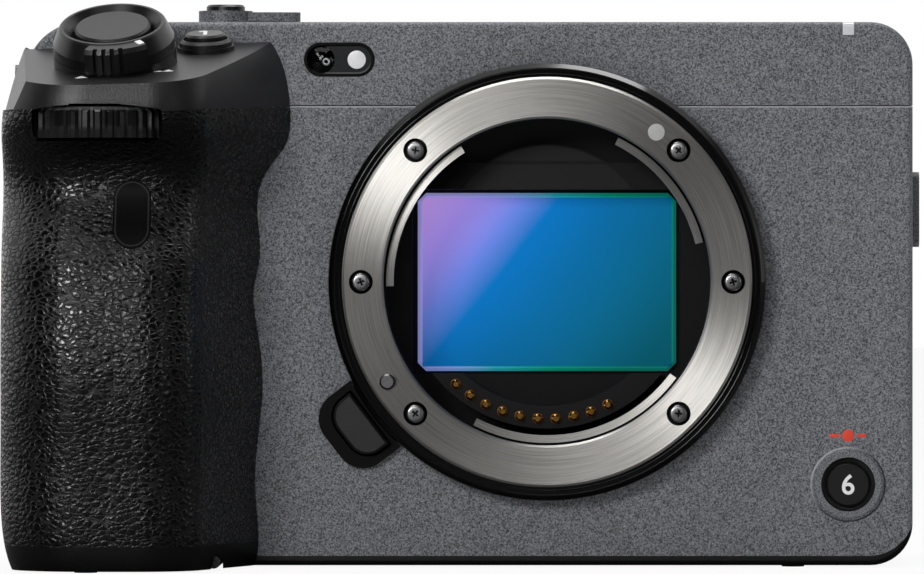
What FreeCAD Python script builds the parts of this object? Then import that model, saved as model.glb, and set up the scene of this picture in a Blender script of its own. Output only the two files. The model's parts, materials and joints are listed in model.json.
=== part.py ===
import FreeCAD, Part
import math
import os

# Cinema camera body with a lens mount, a hand grip and a swing-out monitor.
# Millimetres. X runs to the right as seen from the front, Y to the back and Z up.
# The origin is the mouth of the tripod socket, straight below the lens axis.

Vec = FreeCAD.Vector

# Fits shared by every piece
run_fit = 0.05        # radial play of a shaft in its hole
slip_gap = 0.3        # clear space round a button cap or a flap
glue_gap = 0.05       # between pieces that are bonded or laid together
far = 99.0            # past every face, for what cuts right through

# Case: a rounded box in a front, a rear and a top cover on a base plate
axis_height = 40.2    # of the lens axis
case_rise = 36.9
case_height = axis_height + case_rise
seam_drop = 11.8
top_seam = case_height - seam_drop
seam_gap = 0.12       # open line between the top cover and the covers below it
seam_bevel = 0.15
case_left = -74.0
case_right = 51.9
case_front = -14.0
case_back = 26.0
case_wall = 2.0
corner_right = 6.0
corner_left = 8.0
rim_round = 0.8
base_thick = 1.35
wrap_radius = 6.6     # sweep of the base plate up round the lower right corner
wrap_past = 0.3
cover_split = 2.0
foot_radius = 1.6
foot_height = 0.25
foot_places = [(-64.2, -36.5), (35.0, -10.0), (-64.0, 19.0), (35.0, 21.5)]
screw_head = 1.4
screw_shank = 0.8
boss_radius = 2.4
boss_height = 8.0
case_screws = [(42.5, -9.8), (-34.0, -9.8), (42.5, 21.8), (-34.0, 21.8)]

# Tripod socket and top inserts, both for quarter-inch screws
thread_radius = 3.175
socket_depth = 6.5
socket_radius = 6.0
insert_radius = 4.5
insert_depth = 7.0
insert_thread = 6.0
insert_spots = [-22.0, 24.0, 42.0]
insert_y = 6.0
insert_sink = 0.1

# Lens mount
flange_face = -19.0
bore_radius = 23.05
ring_radius = 29.0
ring_thick = 3.4
ring_chamfer = 0.35
throat_relief = 0.35  # the throat is this much wider than the bore behind its short wall
tab_inner = 21.7
tab_depth = 1.4       # from the flange face to the front of the bayonet tabs
tab_thick = 1.3
tab_spans = [(122.4, 181.5), (14.3, 63.7), (242.8, 323.4)]
mount_screw_circle = 26.3
mount_screw_angles = [0, 45, 135, 180, 225, 315]
mount_screw_sink = 1.7
mount_screw_head = 1.35
sink_depth = 0.8
index_circle = 26.2
index_angle = 53.9
index_radius = 1.25
trim_radius = 30.9
trim_front = -18.3
trim_flare = 0.2
housing_seat = 32.5   # flange of the throat housing behind the front cover
housing_wall = 2.0
housing_radius = 25.5
throat_floor = -6.5
floor_thick = 1.5
window_width = 38.4
window_reach = 13.3   # the sensor window's edges lie this far above and below the axis
window_low = axis_height - window_reach
window_high = axis_height + window_reach
baffle_foot = 13.2
baffle_head = 17.0
baffle_low = axis_height + baffle_foot
baffle_high = axis_height + baffle_head
baffle_thick = 1.8
baffle_rise = 2.6
baffle_half = 8.5
contact_inner = 17.6
contact_outer = 20.8
contact_drop = 13.0   # the contact block ends this far below the axis
contact_face = -14.2
pin_circle = 19.4
pin_radius = 0.65
pin_first = 228.3
pin_last = 296.4
pin_count = 10
pin_proud = 0.7
pin_sunk = 1.5

# Lens release: a black well beside the mount, its button and the lock pin
release_angle = 217.5
well_stand = 7.4      # the well stands this far out of the trim ring
well_reach = trim_radius + well_stand
well_width = 11.8
well_corner = 4.0
well_proud = 1.0
well_depth = 5.0
release_border = 2.1  # from the well's end to the button's
release_side = 1.4
release_reach = well_reach - release_border
release_width = well_width - 2 * release_side
release_corner = well_corner - 1
release_start = trim_radius + 0.8
release_proud = 2.4
release_travel = 1.2
lock_circle = 26.6
lock_angle = 212.0
lock_radius = 1.1
lock_proud = 1.0
lock_length = 10.5

# Sensor on its two-way stabiliser, with the shutter blades before it
glass_width = 37.0
glass_height = 25.5
glass_thick = 1.2
glass_front = -2.6
glass_chamfer = 1.2
glass_bevel = 0.4
stage_travel = 0.8
carriage_border = 3.3
frame_border = 3.6
stage_thick = 2.0
stage_air = 1.4
stage_post = 1.2
back_plate = 1.0
back_overlap = 3.0    # the carriage's back plate reaches this far over the frame
blade_width = 42.0
blade_thick = 0.4
blade_gap = 0.3
blade_rest = 0.6      # an open blade clears the window by this much
blade_cover = 0.2     # and a closed one reaches past its lower edge
blade_lap = 1.3

# Hand grip: height, left side, nose, inner side at the case, inner corner of the nose
grip_stations = [
    (0.0, -74.9, -41.3, -41.6, -50.5),
    (6.0, -76.2, -42.7, -41.0, -50.0),
    (18.0, -76.4, -43.0, -41.0, -50.0),
    (33.0, -76.4, -43.0, -41.0, -50.0),
    (42.0, -76.4, -41.6, -41.0, -50.0),
    (49.0, -76.4, -38.2, -41.0, -50.0),
    (54.0, -76.4, -36.6, -40.6, -49.9),
    (58.0, -76.4, -38.6, -38.2, -49.7),
    (61.5, -76.3, -42.2, -36.5, -49.5),
    (66.0, -75.8, -43.0, -36.5, -49.4),
    (73.0, -74.2, -42.4, -38.4, -49.8),
    (80.0, -71.8, -41.2, -41.2, -51.0),
]
grip_wrap = 0.0       # the grip reaches this far back along the left side
nose_left_round = 12.0
nose_right_round = 9.0
skin_thick = 0.8
grip_foot = 3.45
cap_seam = [(-72.0, 64.2), (-53.0, 63.8), (-36.0, 65.2)]
cap_edge_height = 67.7
cap_slope = 0.21
cap_roll = 0.03
cap_low_point = (-61.8, -42.0)
cap_bevel_at = (-75.9, -26.0, 64.6)
cap_bevel_facing = (-0.912, -0.145, 0.385)
plug_width = 5.2
plug_low = 44.9
plug_high = 54.4
plug_x = -57.7
plug_proud = 0.15

# Battery in the grip and its door
battery_size = (22.7, 38.7, 51.7)
battery_left = -71.6
battery_front = -29.0
bay_gap = 0.4
door_thick = 1.8
door_sink = 0.1
door_margin = 1.5
door_gap = 0.2
battery_hinge_x = -46.6
latch_size = (3.0, 9.0)
latch_travel = 3.0

# Front dial in the grip
dial_x = -62.4
dial_y = -33.8
dial_low = 60.2
dial_thick = 4.3
dial_radius = 9.5
dial_rim_bevel = 0.7
dial_ribs = 34
rib_depth = 0.55
dial_pin = 1.5
dial_window = 18.2
dial_gap = 0.4
dial_window_round = 1.6
dial_window_arch = 0.8   # rise of the window's upper edge

# Shutter button inside the zoom lever, on a tilted platform
shutter_top = (-60.8, -30.3, 76.1)
shutter_tilt = 24.5
shutter_roll = 3.5
shutter_radius = 5.35
shutter_thick = 1.3
shutter_travel = 1.0
lever_top_radius = 7.55
lever_rim_inner = 6.9
lever_skirt_radius = 8.5
lever_well_radius = 5.75
lever_height = 3.5
lever_rise = 0.25     # the rim stands this far above the button
lever_bowl = 1.1      # foot of the bowl round the button, below its top
lever_waist = 2.1
neck_radius = 5.6
platform_radius = 8.6
platform_depth = 13.0
tab_reach = 9.5
tab_ends = (-23.0, 32.5)
tab_drop = 0.15       # below the rim
tab_slope = (0.9, 0.4)
tab_grooves = [-13.7, -6.0, 1.2, 8.8]
groove_width = 0.62
groove_depth = 0.8

# Round push buttons: a cap, a stem and a cup that guides them
cap_depth = 1.0
cap_bevel = 0.3
stem_radius = 1.0
stem_extra = 0.8
cup_wall = 0.9
cup_floor = 1.0
press_travel = 0.6

custom_spot = (-48.2, -18.6)
custom_radius = 2.85
custom_collar = 3.7
collar_height = 1.6
record_spot = (42.7, 11.5)
record_radius = 3.15
record_proud = 0.7
record_well = 3.85    # open ring round the button, in the collar
record_sink = 0.6
record_collar = 5.2
record_collar_height = 0.8

# Power lever round the upper record button
power_spot = (-46.5, 11.0)
power_ring_radius = 3.9
power_core_radius = 3.0
power_ring_low = case_height + 0.05
power_ring_high = case_height + 2.3
power_arm_reach = 10.8
power_arm_width = 4.6
power_arm_low = case_height + 0.8
power_arm_high = case_height + 2.1
power_core_high = case_height + 1.2
top_button_radius = 2.78
top_button_high = case_height + 3.2

# Signal window, lamps
window_drop = 5.35
window_centre = (-29.45, case_height - window_drop)
window_size = (10.1, 4.9)
window_depth = 1.9
window_recess = 0.5
focus_lamp_x = -32.1
focus_lamp_radius = 1.95
light_disc_x = -27.0
light_disc_radius = 1.29
tally_left = 41.9
tally_right = 43.6
tally_low = case_height - 1.9
tally_depth = 2.4

# Accessory shoe sunk in the top
shoe_width = 21.4
shoe_slot = 18.6
shoe_mouth = 12.5
shoe_slot_high = 2.1
shoe_rail = 1.4
shoe_floor = 1.0
shoe_front = -7.0
shoe_back = 19.0
pocket_depth = 5.5
pocket_wall = 1.4

# Strap bars
strap_right = (45.2, 55.9)
strap_left = (58.9, 71.5)
strap_right_y = -6.0
strap_left_y = 5.5
strap_width = 2.8
strap_right_proud = 1.2
strap_left_proud = 2.6
strap_bar_thick = 1.2
strap_foot = 2.2
strap_pocket = (4.4, 11.2, 7.0)

# Rear controls
wheel_spot = (-44.0, 27.0)
wheel_radius = 9.5
wheel_post = 4.0
wheel_sink = 1.6
wheel_proud = 1.1
wheel_ribs = 28
centre_radius = 2.6
stick_drop = 11.8
stick_spot = (-40.0, top_seam - stick_drop)
stick_mouth = 4.4
stick_tube = 5.5
stick_pivot = 5.0
stick_tilt_pin = 0.6
stick_knob = 2.6
gimbal_outer = 3.9
gimbal_inner = 2.6
gimbal_thick = 2.4
rear_dial_spot = (-62.0, 21.0)
rear_dial_radius = 8.0
rear_dial_low = case_height - 8.9
rear_dial_thick = 3.6
rear_dial_ribs = 24
menu_drop = 4.3
menu_spot = (-30.5, top_seam - menu_drop)
play_spot = (-31.0, 10.0)
rear_button_radius = 2.4
thumb_low = 42.0
thumb_drop = 0.3
thumb_high = top_seam - thumb_drop
thumb_tip = 41.0
# from foot to top: share of the height, left side, right side, depth short of the tip, corner
thumb_stations = [
    (0.0, -71.0, -60.0, 12.2, 1.4),
    (0.4, -72.3, -58.2, 3.0, 3.4),
    (0.75, -72.5, -57.6, 0.0, 4.2),
    (1.0, -72.2, -58.0, 0.9, 4.0),
]
thumb_round = 1.0

# Monitor on its upright hinge
monitor_left = -25.0
monitor_right = 44.9
monitor_low = 12.0
monitor_drop = 5.8    # the monitor ends this far below the top cover's seam
monitor_high = top_seam - monitor_drop
monitor_front = 26.4
monitor_back = 34.3
monitor_round = 3.0
glass_margin = 2.4
glass_sheet = 0.8
hinge_x = 49.0
hinge_radius = 3.6
hinge_pin = 1.5
hinge_ear = 5.0
arm_plate = 2.4

# Side doors
port_low = 10.0
port_high = 44.0
card_low = 15.0
card_drop = 9.3
card_high = top_seam - card_drop
side_door_front = 5.0
side_door_back = 22.6
side_door_thick = 1.6
side_hinge = 0.8
card_lead = 0.2       # the card door starts this far before the slots

# Inside the case
board_front = 12.0
board_thick = 1.6
board_drop = 3.3
board_span = (-31.0, 47.0, 8.0, top_seam - board_drop)
post_drop = 7.3
board_posts = [(-20.0, 14.0), (36.0, 11.5), (-20.0, top_seam - post_drop),
               (20.0, top_seam - post_drop)]
post_radius = 2.2
board_chips = [(-8.0, 30.0, 14.0), (12.0, 34.0, 10.0), (12.0, 18.0, 8.0)]
chip_thick = 1.2
sink_span = (-19.0, 24.0, 22.0, 55.0)
sink_base = 2.2
fin_depth = 4.8
fin_thick = 1.1
fin_count = 9
fan_drop = 23.1        # the fan sits this far below the top
fan_centre = (37.0, case_height - fan_drop)
fan_size = 19.0
fan_depth = 7.5
fan_bore = 8.6
fan_hub = 3.2
fan_blade_reach = 8.1
fan_blades = 7
fan_post = 1.0
vent_count = 5
vent_width = 1.6
cage_drop = 11.3
cage_span = (-70.4, -46.0, 17.0, top_seam - cage_drop)
cage_gap = 0.5
cage_depth = 8.0
card_slot = (2.6, 31.0, 22.0)
port_rows = [20.0, 28.0, 36.0]
port_size = (8.0, 6.0, 6.4)
port_wall = 0.6
port_slot = 2.6
jack_radius = 1.8


# Basic shapes

def box(x0, x1, y0, y1, z0, z1):
    return Part.makeBox(x1 - x0, y1 - y0, z1 - z0, Vec(x0, y0, z0))


def rod(radius, point, axis, length):
    return Part.makeCylinder(radius, length, Vec(*point), Vec(*axis))


def placed(point, axis):
    return FreeCAD.Placement(Vec(*point), FreeCAD.Rotation(Vec(0, 0, 1), Vec(*axis)))


def turned(profile, point, axis):
    """Solid of revolution of (radius, height) points about an axis through a point."""
    corners = [Vec(r, 0, h) for r, h in profile]
    solid = Part.Face(Part.makePolygon(corners + corners[:1])).revolve(Vec(), Vec(0, 0, 1), 360)
    solid = Part.Solid(solid.Shells[0])
    if solid.Volume < 0:
        solid.reverse()
    solid.Placement = placed(point, axis)
    return solid


def front_plane(y):
    return lambda p: Vec(p.x, y, p.y)


def level_plane(z):
    return lambda p: Vec(p.x, p.y, z)


def side_plane(x):
    return lambda p: Vec(x, p.x, p.y)


def soft_arc(start, middle, end):
    """Arc as a plain spline, which lofts smoothly from one section to the next."""
    arc = Part.Arc(start, middle, end)
    spline = Part.BSplineCurve()
    spline.interpolate(Points=arc.discretize(3), Parameters=[0, 0.5, 1.0],
                       InitialTangent=arc.tangent(arc.FirstParameter)[0],
                       FinalTangent=arc.tangent(arc.LastParameter)[0])
    return spline


def outline(corners, plane, corner_arc=Part.Arc):
    """Closed wire through (u, v, radius) corners, each rounded by its own radius."""
    ends = []
    for i, (u, v, radius) in enumerate(corners):
        here = Vec(u, v, 0)
        if radius == 0:
            ends.append((here, here, here))
            continue
        nxt = corners[(i + 1) % len(corners)]
        back = (Vec(corners[i - 1][0], corners[i - 1][1], 0) - here).normalize()
        ahead = (Vec(nxt[0], nxt[1], 0) - here).normalize()
        half = back.getAngle(ahead) / 2
        reach = radius / math.tan(half)
        middle = here + (back + ahead).normalize() * (radius / math.sin(half) - radius)
        ends.append((here + back * reach, middle, here + ahead * reach))
    edges = []
    for i, (start, middle, end) in enumerate(ends):
        if corners[i][2] > 0:
            edges.append(corner_arc(plane(start), plane(middle), plane(end)).toShape())
        following = ends[(i + 1) % len(ends)][0]
        if (following - end).Length > 1e-6:
            edges.append(Part.LineSegment(plane(end), plane(following)).toShape())
    return Part.Wire(edges)


def prism(corners, plane, along):
    return Part.Face(outline(corners, plane)).extrude(Vec(*along))


def rounded(u0, u1, v0, v1, radius):
    return [(u0, v0, radius), (u1, v0, radius), (u1, v1, radius), (u0, v1, radius)]


def joined(first, *others):
    return first.fuse(list(others)).removeSplitter()


def on_circle(radius, angle):
    """Point at an angle on a circle about the lens axis, as (x, z)."""
    turn = math.radians(angle)
    return radius * math.cos(turn), axis_height + radius * math.sin(turn)


def sector(r0, r1, a0, a1, y0, y1):
    """Part of a ring about the lens axis between two angles."""
    def at(radius, angle):
        x, z = on_circle(radius, angle)
        return Vec(x, y0, z)
    mid = (a0 + a1) / 2
    edges = [Part.Arc(at(r1, a0), at(r1, mid), at(r1, a1)).toShape(),
             Part.LineSegment(at(r1, a1), at(r0, a1)).toShape(),
             Part.Arc(at(r0, a1), at(r0, mid), at(r0, a0)).toShape(),
             Part.LineSegment(at(r0, a0), at(r1, a0)).toShape()]
    return Part.Face(Part.Wire(edges)).extrude(Vec(0, y1 - y0, 0))


def ribbed_disc(radius, depth, ribs, thick, bore, point, axis):
    """Thumbwheel: a disc with upright ribs on its rim and a bore for its pin."""
    corners = []
    for i in range(ribs):
        for share, reach in ((0.0, radius - depth), (0.22, radius - depth),
                             (0.42, radius), (0.78, radius)):
            turn = 2 * math.pi * (i + share) / ribs
            corners.append(Vec(reach * math.cos(turn), reach * math.sin(turn), 0))
    disc = Part.Face(Part.makePolygon(corners + corners[:1])).extrude(Vec(0, 0, thick))
    disc = disc.cut(Part.makeCylinder(bore, thick))
    disc.Placement = placed(point, axis)
    return disc


# Round push buttons

def button_floor(travel):
    return cap_depth + travel + glue_gap * 2


def push_button(point, axis, radius, proud, travel):
    """Button with its mouth at a point of the surface, standing proud along the axis."""
    end = button_floor(travel) + cup_floor + stem_extra
    profile = [(0, proud), (radius - cap_bevel, proud), (radius, proud - cap_bevel),
               (radius, -cap_depth), (stem_radius, -cap_depth), (stem_radius, -end), (0, -end)]
    return turned(profile, point, axis)


def with_button_seat(carrier, point, axis, radius, travel):
    """Carrier with a guiding cup behind its wall and the hole for cap and stem."""
    floor = button_floor(travel)
    inward = Vec(*axis) * -1
    start = Vec(*point)
    cup = Part.makeCylinder(radius + slip_gap + cup_wall, floor + cup_floor - case_wall / 2,
                            start + inward * (case_wall / 2), inward)
    mouth = Part.makeCylinder(radius + slip_gap, floor + 9, start - inward * 9, inward)
    bore = Part.makeCylinder(stem_radius + run_fit, floor + cup_floor + 2, start, inward)
    return carrier.fuse(cup).cut([mouth, bore])


# Case

def case_block(inset):
    """The case's outer form, or its hollow when inset by the wall."""
    low_round = corner_right if inset == 0 else wrap_radius + inset / 4
    bottom = 0 if inset == 0 else base_thick
    corners = [(case_left + inset, bottom, 0),
               (case_right - inset, bottom, low_round),
               (case_right - inset, case_height - inset, corner_right - inset),
               (case_left + inset, case_height - inset, corner_left - inset)]
    depth = case_back - case_front - 2 * inset
    block = prism(corners, front_plane(case_front + inset), (0, depth, 0))
    if inset == 0:
        rims = [e for e in block.Edges
                if abs(e.BoundBox.YMax - case_front) < 1e-3 or abs(e.BoundBox.YMin - case_back) < 1e-3]
        block = block.makeFillet(rim_round, rims)
    return block


def cover_region():
    """Everything above the base plate, whose edge sweeps up round the right corner."""
    corners = [(-far, base_thick, 0), (case_right + wrap_past, base_thick, wrap_radius),
               (case_right + wrap_past, far, 0), (-far, far, 0)]
    return prism(corners, front_plane(-far), (0, 2 * far, 0))


def case_shell(y0, y1, z0, z1):
    shell = case_block(0).cut(case_block(case_wall)).common(cover_region())
    return shell.common(box(-far, far, y0, y1, z0, z1))


def screw_bosses(y0, y1):
    return [rod(boss_radius, (x, y, base_thick), (0, 0, 1), boss_height)
            for x, y in case_screws if y0 < y < y1]


def screw_holes(low, high):
    return [rod(screw_shank + run_fit, (x, y, low), (0, 0, 1), high - low) for x, y in case_screws]


def bay_box(grow, y0, y1, z1):
    width = battery_size[0]
    return box(battery_left - grow, battery_left + width + grow, y0, y1, -1, z1)


def battery_low():
    return door_sink + door_thick + bay_gap


def bay_top():
    return battery_low() + battery_size[2] + bay_gap


def bay_back():
    return battery_front + battery_size[1] + bay_gap


def cage_front():
    return bay_back() + cage_gap


def door_clearance():
    """Space of the battery door and of its hinge knuckle."""
    half = door_thick / 2
    plate = box(battery_left - door_gap, battery_hinge_x, battery_front - door_margin - door_gap,
                bay_back() + door_margin + door_gap, -1, door_sink + door_thick + door_gap)
    knuckle = rod(half + door_gap, (battery_hinge_x, battery_front - door_margin - door_gap,
                                    door_sink + half), (0, 1, 0),
                  bay_back() - battery_front + 2 * (door_margin + door_gap))
    below = box(battery_hinge_x - 1, battery_hinge_x + half + door_gap,
                battery_front - door_margin - door_gap,
                bay_back() + door_margin + door_gap, -1, door_sink + half)
    return plate.fuse([knuckle, below])


def strap_pocket_box(grow):
    deep, wide, tall = strap_pocket
    middle = sum(strap_right) / 2
    return box(case_right - deep - grow, case_right + (1 if grow == 0 else 0),
               strap_right_y - wide / 2 - grow, strap_right_y + wide / 2 + grow,
               middle - tall / 2 - grow, middle + tall / 2 + grow)


def release_shape(start, reach, width, corner, y0, y1):
    """Lobe that runs out radially beside the mount, with rounded outer corners."""
    turn = math.radians(release_angle)

    def plane(p):
        return Vec(p.x * math.cos(turn) - p.y * math.sin(turn), y0,
                   axis_height + p.x * math.sin(turn) + p.y * math.cos(turn))
    half = width / 2
    corners = [(start, -half, 0), (reach, -half, corner), (reach, half, corner), (start, half, 0)]
    return prism(corners, plane, (0, y1 - y0, 0))


def release_cavity(y0, y1):
    return release_shape(release_start - slip_gap, release_reach + slip_gap,
                         release_width + 2 * slip_gap, release_corner + slip_gap, y0, y1)


def case_openings():
    """Mouths in the upper case, cut from each cover so that they follow a moved seam."""
    mount = rod(ring_radius + 2 * slip_gap, (0, case_front - 1, axis_height), (0, 1, 0), case_wall + 2)
    wx, wz = window_centre
    window = prism(rounded(wx - window_size[0] / 2, wx + window_size[0] / 2,
                           wz - window_size[1] / 2, wz + window_size[1] / 2,
                           window_size[1] / 2 - 0.01),
                   front_plane(case_front - 1), (0, case_wall + 2, 0))
    x, y = rear_dial_spot
    dial = box(x - rear_dial_radius - slip_gap, x + rear_dial_radius + slip_gap,
               case_back - case_wall - 0.5, case_back + 1,
               rear_dial_low - slip_gap, rear_dial_low + rear_dial_thick + slip_gap)
    tally = box(tally_left, tally_right, case_front - 1, case_front + tally_depth,
                tally_low, case_height + 1)
    return [mount, window, dial, tally]


def front_cover():
    high = top_seam - seam_gap
    cover = case_shell(case_front - 1, cover_split, base_thick, high)
    bevel = prism([(case_front - 1, high - seam_bevel - 1, 0), (case_front + seam_bevel + 1, high + 1, 0),
                   (case_front - 1, high + 1, 0)], side_plane(case_left), (case_right - case_left, 0, 0))
    collar_x, collar_z = record_spot
    face = (collar_x, case_front, collar_z)
    collar = turned([(0, -case_wall / 2), (record_collar, -case_wall / 2), (record_collar, 0.3),
                     (record_collar - 0.5, record_collar_height), (0, record_collar_height)],
                    face, (0, -1, 0))
    pocket = strap_pocket_box(case_wall / 2).common(case_block(0))
    cover = cover.fuse([collar, pocket] + screw_bosses(case_front, cover_split))
    cover = with_button_seat(cover, face, (0, -1, 0), record_radius, press_travel)
    well = release_shape(trim_radius - 1, well_reach - 1, well_width - 2, well_corner - 1,
                         case_front - 1, case_front + well_depth + 1)
    bay = bay_box(bay_gap, case_front - 1, case_front + case_wall + 1, bay_top())
    ring = rod(record_well, (collar_x, case_front - 1, collar_z), (0, 1, 0), 1 + record_sink)
    return cover.cut([well, bay, strap_pocket_box(0), door_clearance(), ring, bevel]
                     + case_openings() + screw_holes(0, boss_height))


def top_cover():
    cover = case_shell(case_front - 1, case_back + 1, top_seam, case_height + 1)
    half = shoe_width / 2 + glue_gap
    floor = case_height - pocket_depth
    tray = box(-half - pocket_wall, half + pocket_wall, shoe_front - pocket_wall, case_back,
               floor - pocket_wall, case_height).common(case_block(0))
    hollow = box(-half, half, shoe_front, case_back + 1, floor, case_height + 1)
    bosses = [rod(insert_radius + 1.3, (x, insert_y, case_height - insert_depth - 1.6), (0, 0, 1),
                  insert_depth) for x in insert_spots]
    x, y = power_spot
    core = rod(power_core_radius, (x, y, case_height - case_wall / 2), (0, 0, 1),
               power_core_high - case_height + case_wall / 2)
    dial_x0, dial_y0 = rear_dial_spot
    pin = rod(dial_pin, (dial_x0, dial_y0, rear_dial_low - 1), (0, 0, 1),
              case_height - case_wall / 2 - rear_dial_low + 1)
    cover = cover.fuse(bosses + [tray, core, pin])
    inserts = [rod(insert_radius + run_fit, (x0, insert_y, case_height - insert_depth), (0, 0, 1),
                   insert_depth + 1) for x0 in insert_spots]
    stem = rod(stem_radius + run_fit, (x, y, -far), (0, 0, 1), 2 * far)
    return cover.cut([hollow, stem] + inserts + case_openings())


def side_opening(x0, x1, low, high, front):
    return box(x0, x1, front - door_gap, side_door_back + door_gap, low - door_gap, high + door_gap)


def rear_cover():
    cover = case_shell(cover_split, case_back + 1, base_thick, top_seam - seam_gap)
    wx, wz = wheel_spot
    back = case_back
    wheel_boss = rod(wheel_radius + slip_gap + cup_wall, (wx, back - wheel_sink - cup_floor, wz),
                     (0, 1, 0), wheel_sink + cup_floor - 0.5)
    sx, sz = stick_spot
    tube = rod(stick_tube, (sx, back - stick_pivot - 3, sz), (0, 1, 0), stick_pivot + 2.5)
    posts = [rod(post_radius, (x, board_front + board_thick, z), (0, 1, 0),
                 back - case_wall / 2 - board_front - board_thick) for x, z in board_posts]
    cage_back = cage_front() + cage_depth
    cage_posts = [rod(post_radius, (cage_span[0] + 5, cage_back, z), (0, 1, 0),
                      back - case_wall / 2 - cage_back) for z in (cage_span[2] + 4, cage_span[3] - 4)]
    ears = [box(hinge_x - hinge_radius, hinge_x + hinge_radius - 0.7, back - case_wall / 2,
                hinge_y() + hinge_radius, z, z + hinge_ear) for z in ear_heights()]
    cover = cover.fuse([wheel_boss, tube] + posts + cage_posts + ears
                       + screw_bosses(cover_split, case_back))
    for spot in (menu_spot, play_spot):
        cover = with_button_seat(cover, (spot[0], back, spot[1]), (0, 1, 0),
                                 rear_button_radius, press_travel)
    groove = rod(wheel_radius + slip_gap, (wx, back - wheel_sink, wz), (0, 1, 0), wheel_sink + 1)
    groove = groove.cut(rod(wheel_post, (wx, back - wheel_sink, wz), (0, 1, 0), wheel_sink))
    cover = cover.cut(groove)
    cover = with_button_seat(cover, (wx, back, wz), (0, 1, 0), centre_radius, press_travel)
    stick_hole = rod(stick_mouth, (sx, back - stick_pivot - 4, sz), (0, 1, 0), stick_pivot + 6)
    stick_axle = rod(stick_tilt_pin + run_fit, (sx - stick_tube - 1, back - stick_pivot, sz),
                     (1, 0, 0), 2 * stick_tube + 2)
    pins = rod(hinge_pin + run_fit, (hinge_x, hinge_y(), 0), (0, 0, 1), case_height)
    ports = side_opening(case_right - case_wall - 1, case_right + 1, port_low, port_high,
                         side_door_front)
    cards = side_opening(case_left - 1, case_left + case_wall + 1, card_low, card_high,
                         cage_front() - card_lead)
    pitch = 2 * vent_width
    vents = [prism(rounded(fan_y0(), back - 7, z, z + vent_width, vent_width / 2 - 0.01),
                   side_plane(case_right - case_wall - 1), (case_wall + 2, 0, 0))
             for z in [fan_centre[1] - vent_count * pitch / 2 + vent_width / 2 + i * pitch
                       for i in range(vent_count)]]
    return cover.cut([stick_hole, stick_axle, pins, ports, cards] + vents
                     + case_openings() + screw_holes(0, boss_height))


def base_plate():
    plate = case_block(0).cut(cover_region())
    foot = grip_form(0).common(box(case_left - 9, 0, -90, grip_wrap, 0, grip_foot))
    foot = foot.cut(box(case_left, 0, case_front, 90, base_thick, grip_foot + 1))
    socket = rod(socket_radius, (0, 0, 0), (0, 0, 1), socket_depth + base_thick)
    feet = [rod(foot_radius, (x, y, -foot_height), (0, 0, 1), foot_height + 0.5)
            for x, y in foot_places]
    plate = joined(plate, foot, socket, *feet)
    thread = rod(thread_radius, (0, 0, -1), (0, 0, 1), socket_depth + 1)
    bay = bay_box(bay_gap, battery_front - bay_gap, bay_back(), grip_foot + 1)
    heads = [rod(screw_head + glue_gap, (x, y, -1), (0, 0, 1), 1 + screw_head / 2)
             for x, y in case_screws]
    return plate.cut([thread, bay, door_clearance()] + heads + screw_holes(0, base_thick + 1))


def cover_screws():
    sunk = glue_gap
    profile = [(0, sunk), (screw_head, sunk), (screw_head, screw_head / 2),
               (screw_shank, screw_head / 2), (screw_shank, boss_height - 1), (0, boss_height - 1)]
    return Part.makeCompound([turned(profile, (x, y, 0), (0, 0, 1)) for x, y in case_screws])


# Hand grip

def grip_form(inset):
    """Grip and cap as one form, lofted through its stations, or the same form inset."""
    sections = []
    back = grip_wrap + 9
    for height, left, nose, inner, corner in grip_stations:
        lean = (inner - corner) / (case_front - nose)
        corners = [(left + inset, back, 0),
                   (left + inset, nose + inset, nose_left_round - inset),
                   (corner - inset, nose + inset, nose_right_round - inset),
                   (inner - inset + lean * 2, case_front + 2, 0),
                   (inner - inset + lean * (back - case_front), back, 0)]
        sections.append(outline(corners, level_plane(height), soft_arc))
    form = Part.makeLoft(sections, True, False)
    behind = box(case_left, 0, case_front, 90, -1, far)
    ends = box(-far, 0, grip_wrap, 90, -1, far)
    return form.cut([behind, ends])


def dial_cavity():
    room = rod(dial_radius + dial_gap, (dial_x, dial_y, dial_low - dial_gap), (0, 0, 1),
               dial_thick + 2 * dial_gap)
    half = dial_window / 2
    reach = prism(rounded(dial_x - half, dial_x + half, dial_low - dial_gap,
                          dial_low + dial_thick + dial_gap, dial_window_round),
                  front_plane(dial_y - 2 * dial_radius), (0, 2 * dial_radius, 0))
    arch = (half ** 2 + dial_window_arch ** 2) / (2 * dial_window_arch)
    reach = reach.common(rod(arch, (dial_x, -far, dial_low + dial_thick + dial_gap - arch),
                             (0, 1, 0), 2 * far))
    front = room.common(box(dial_x - half, dial_x + half, -far, dial_y, 0, far))
    chord = math.sqrt((dial_radius + dial_gap) ** 2 - half ** 2)
    rear = room.cut(box(-far, far, -far, dial_y - chord, 0, far))
    return reach.fuse([front, rear])


def plug_outline(grow):
    half = plug_width / 2 + grow
    return prism(rounded(plug_x - half, plug_x + half, plug_low - grow, plug_high + grow, half - 0.01),
                 front_plane(-far), (0, far + case_front, 0))


def below_cap():
    """Room of the grip under the cap, whose seam bends along its front."""
    left, right = cap_seam[0][1], cap_seam[-1][1]
    corners = [(-far, grip_foot), (0, grip_foot), (0, right)] + cap_seam[::-1] + [(-far, left)]
    return prism([(x, z, 0) for x, z in corners], front_plane(-far), (0, 2 * far, 0))


def beyond(point, axis):
    """Everything past the plane through a point."""
    block = Part.makeBox(2 * far, 2 * far, far, Vec(-far, -far, 0))
    block.Placement = placed(point, axis)
    return block


def grip_skin():
    skin = grip_form(0).cut(grip_form(skin_thick)).common(below_cap())
    return skin.cut([dial_cavity(), plug_outline(glue_gap)])


def grip_moulding():
    core = grip_form(skin_thick + glue_gap).common(below_cap())
    bay = bay_box(bay_gap, battery_front - bay_gap, 90, bay_top())
    pin = rod(dial_pin + run_fit, (dial_x, dial_y, dial_low - 3), (0, 0, 1), 3)
    return core.cut([bay, dial_cavity(), pin])


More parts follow.
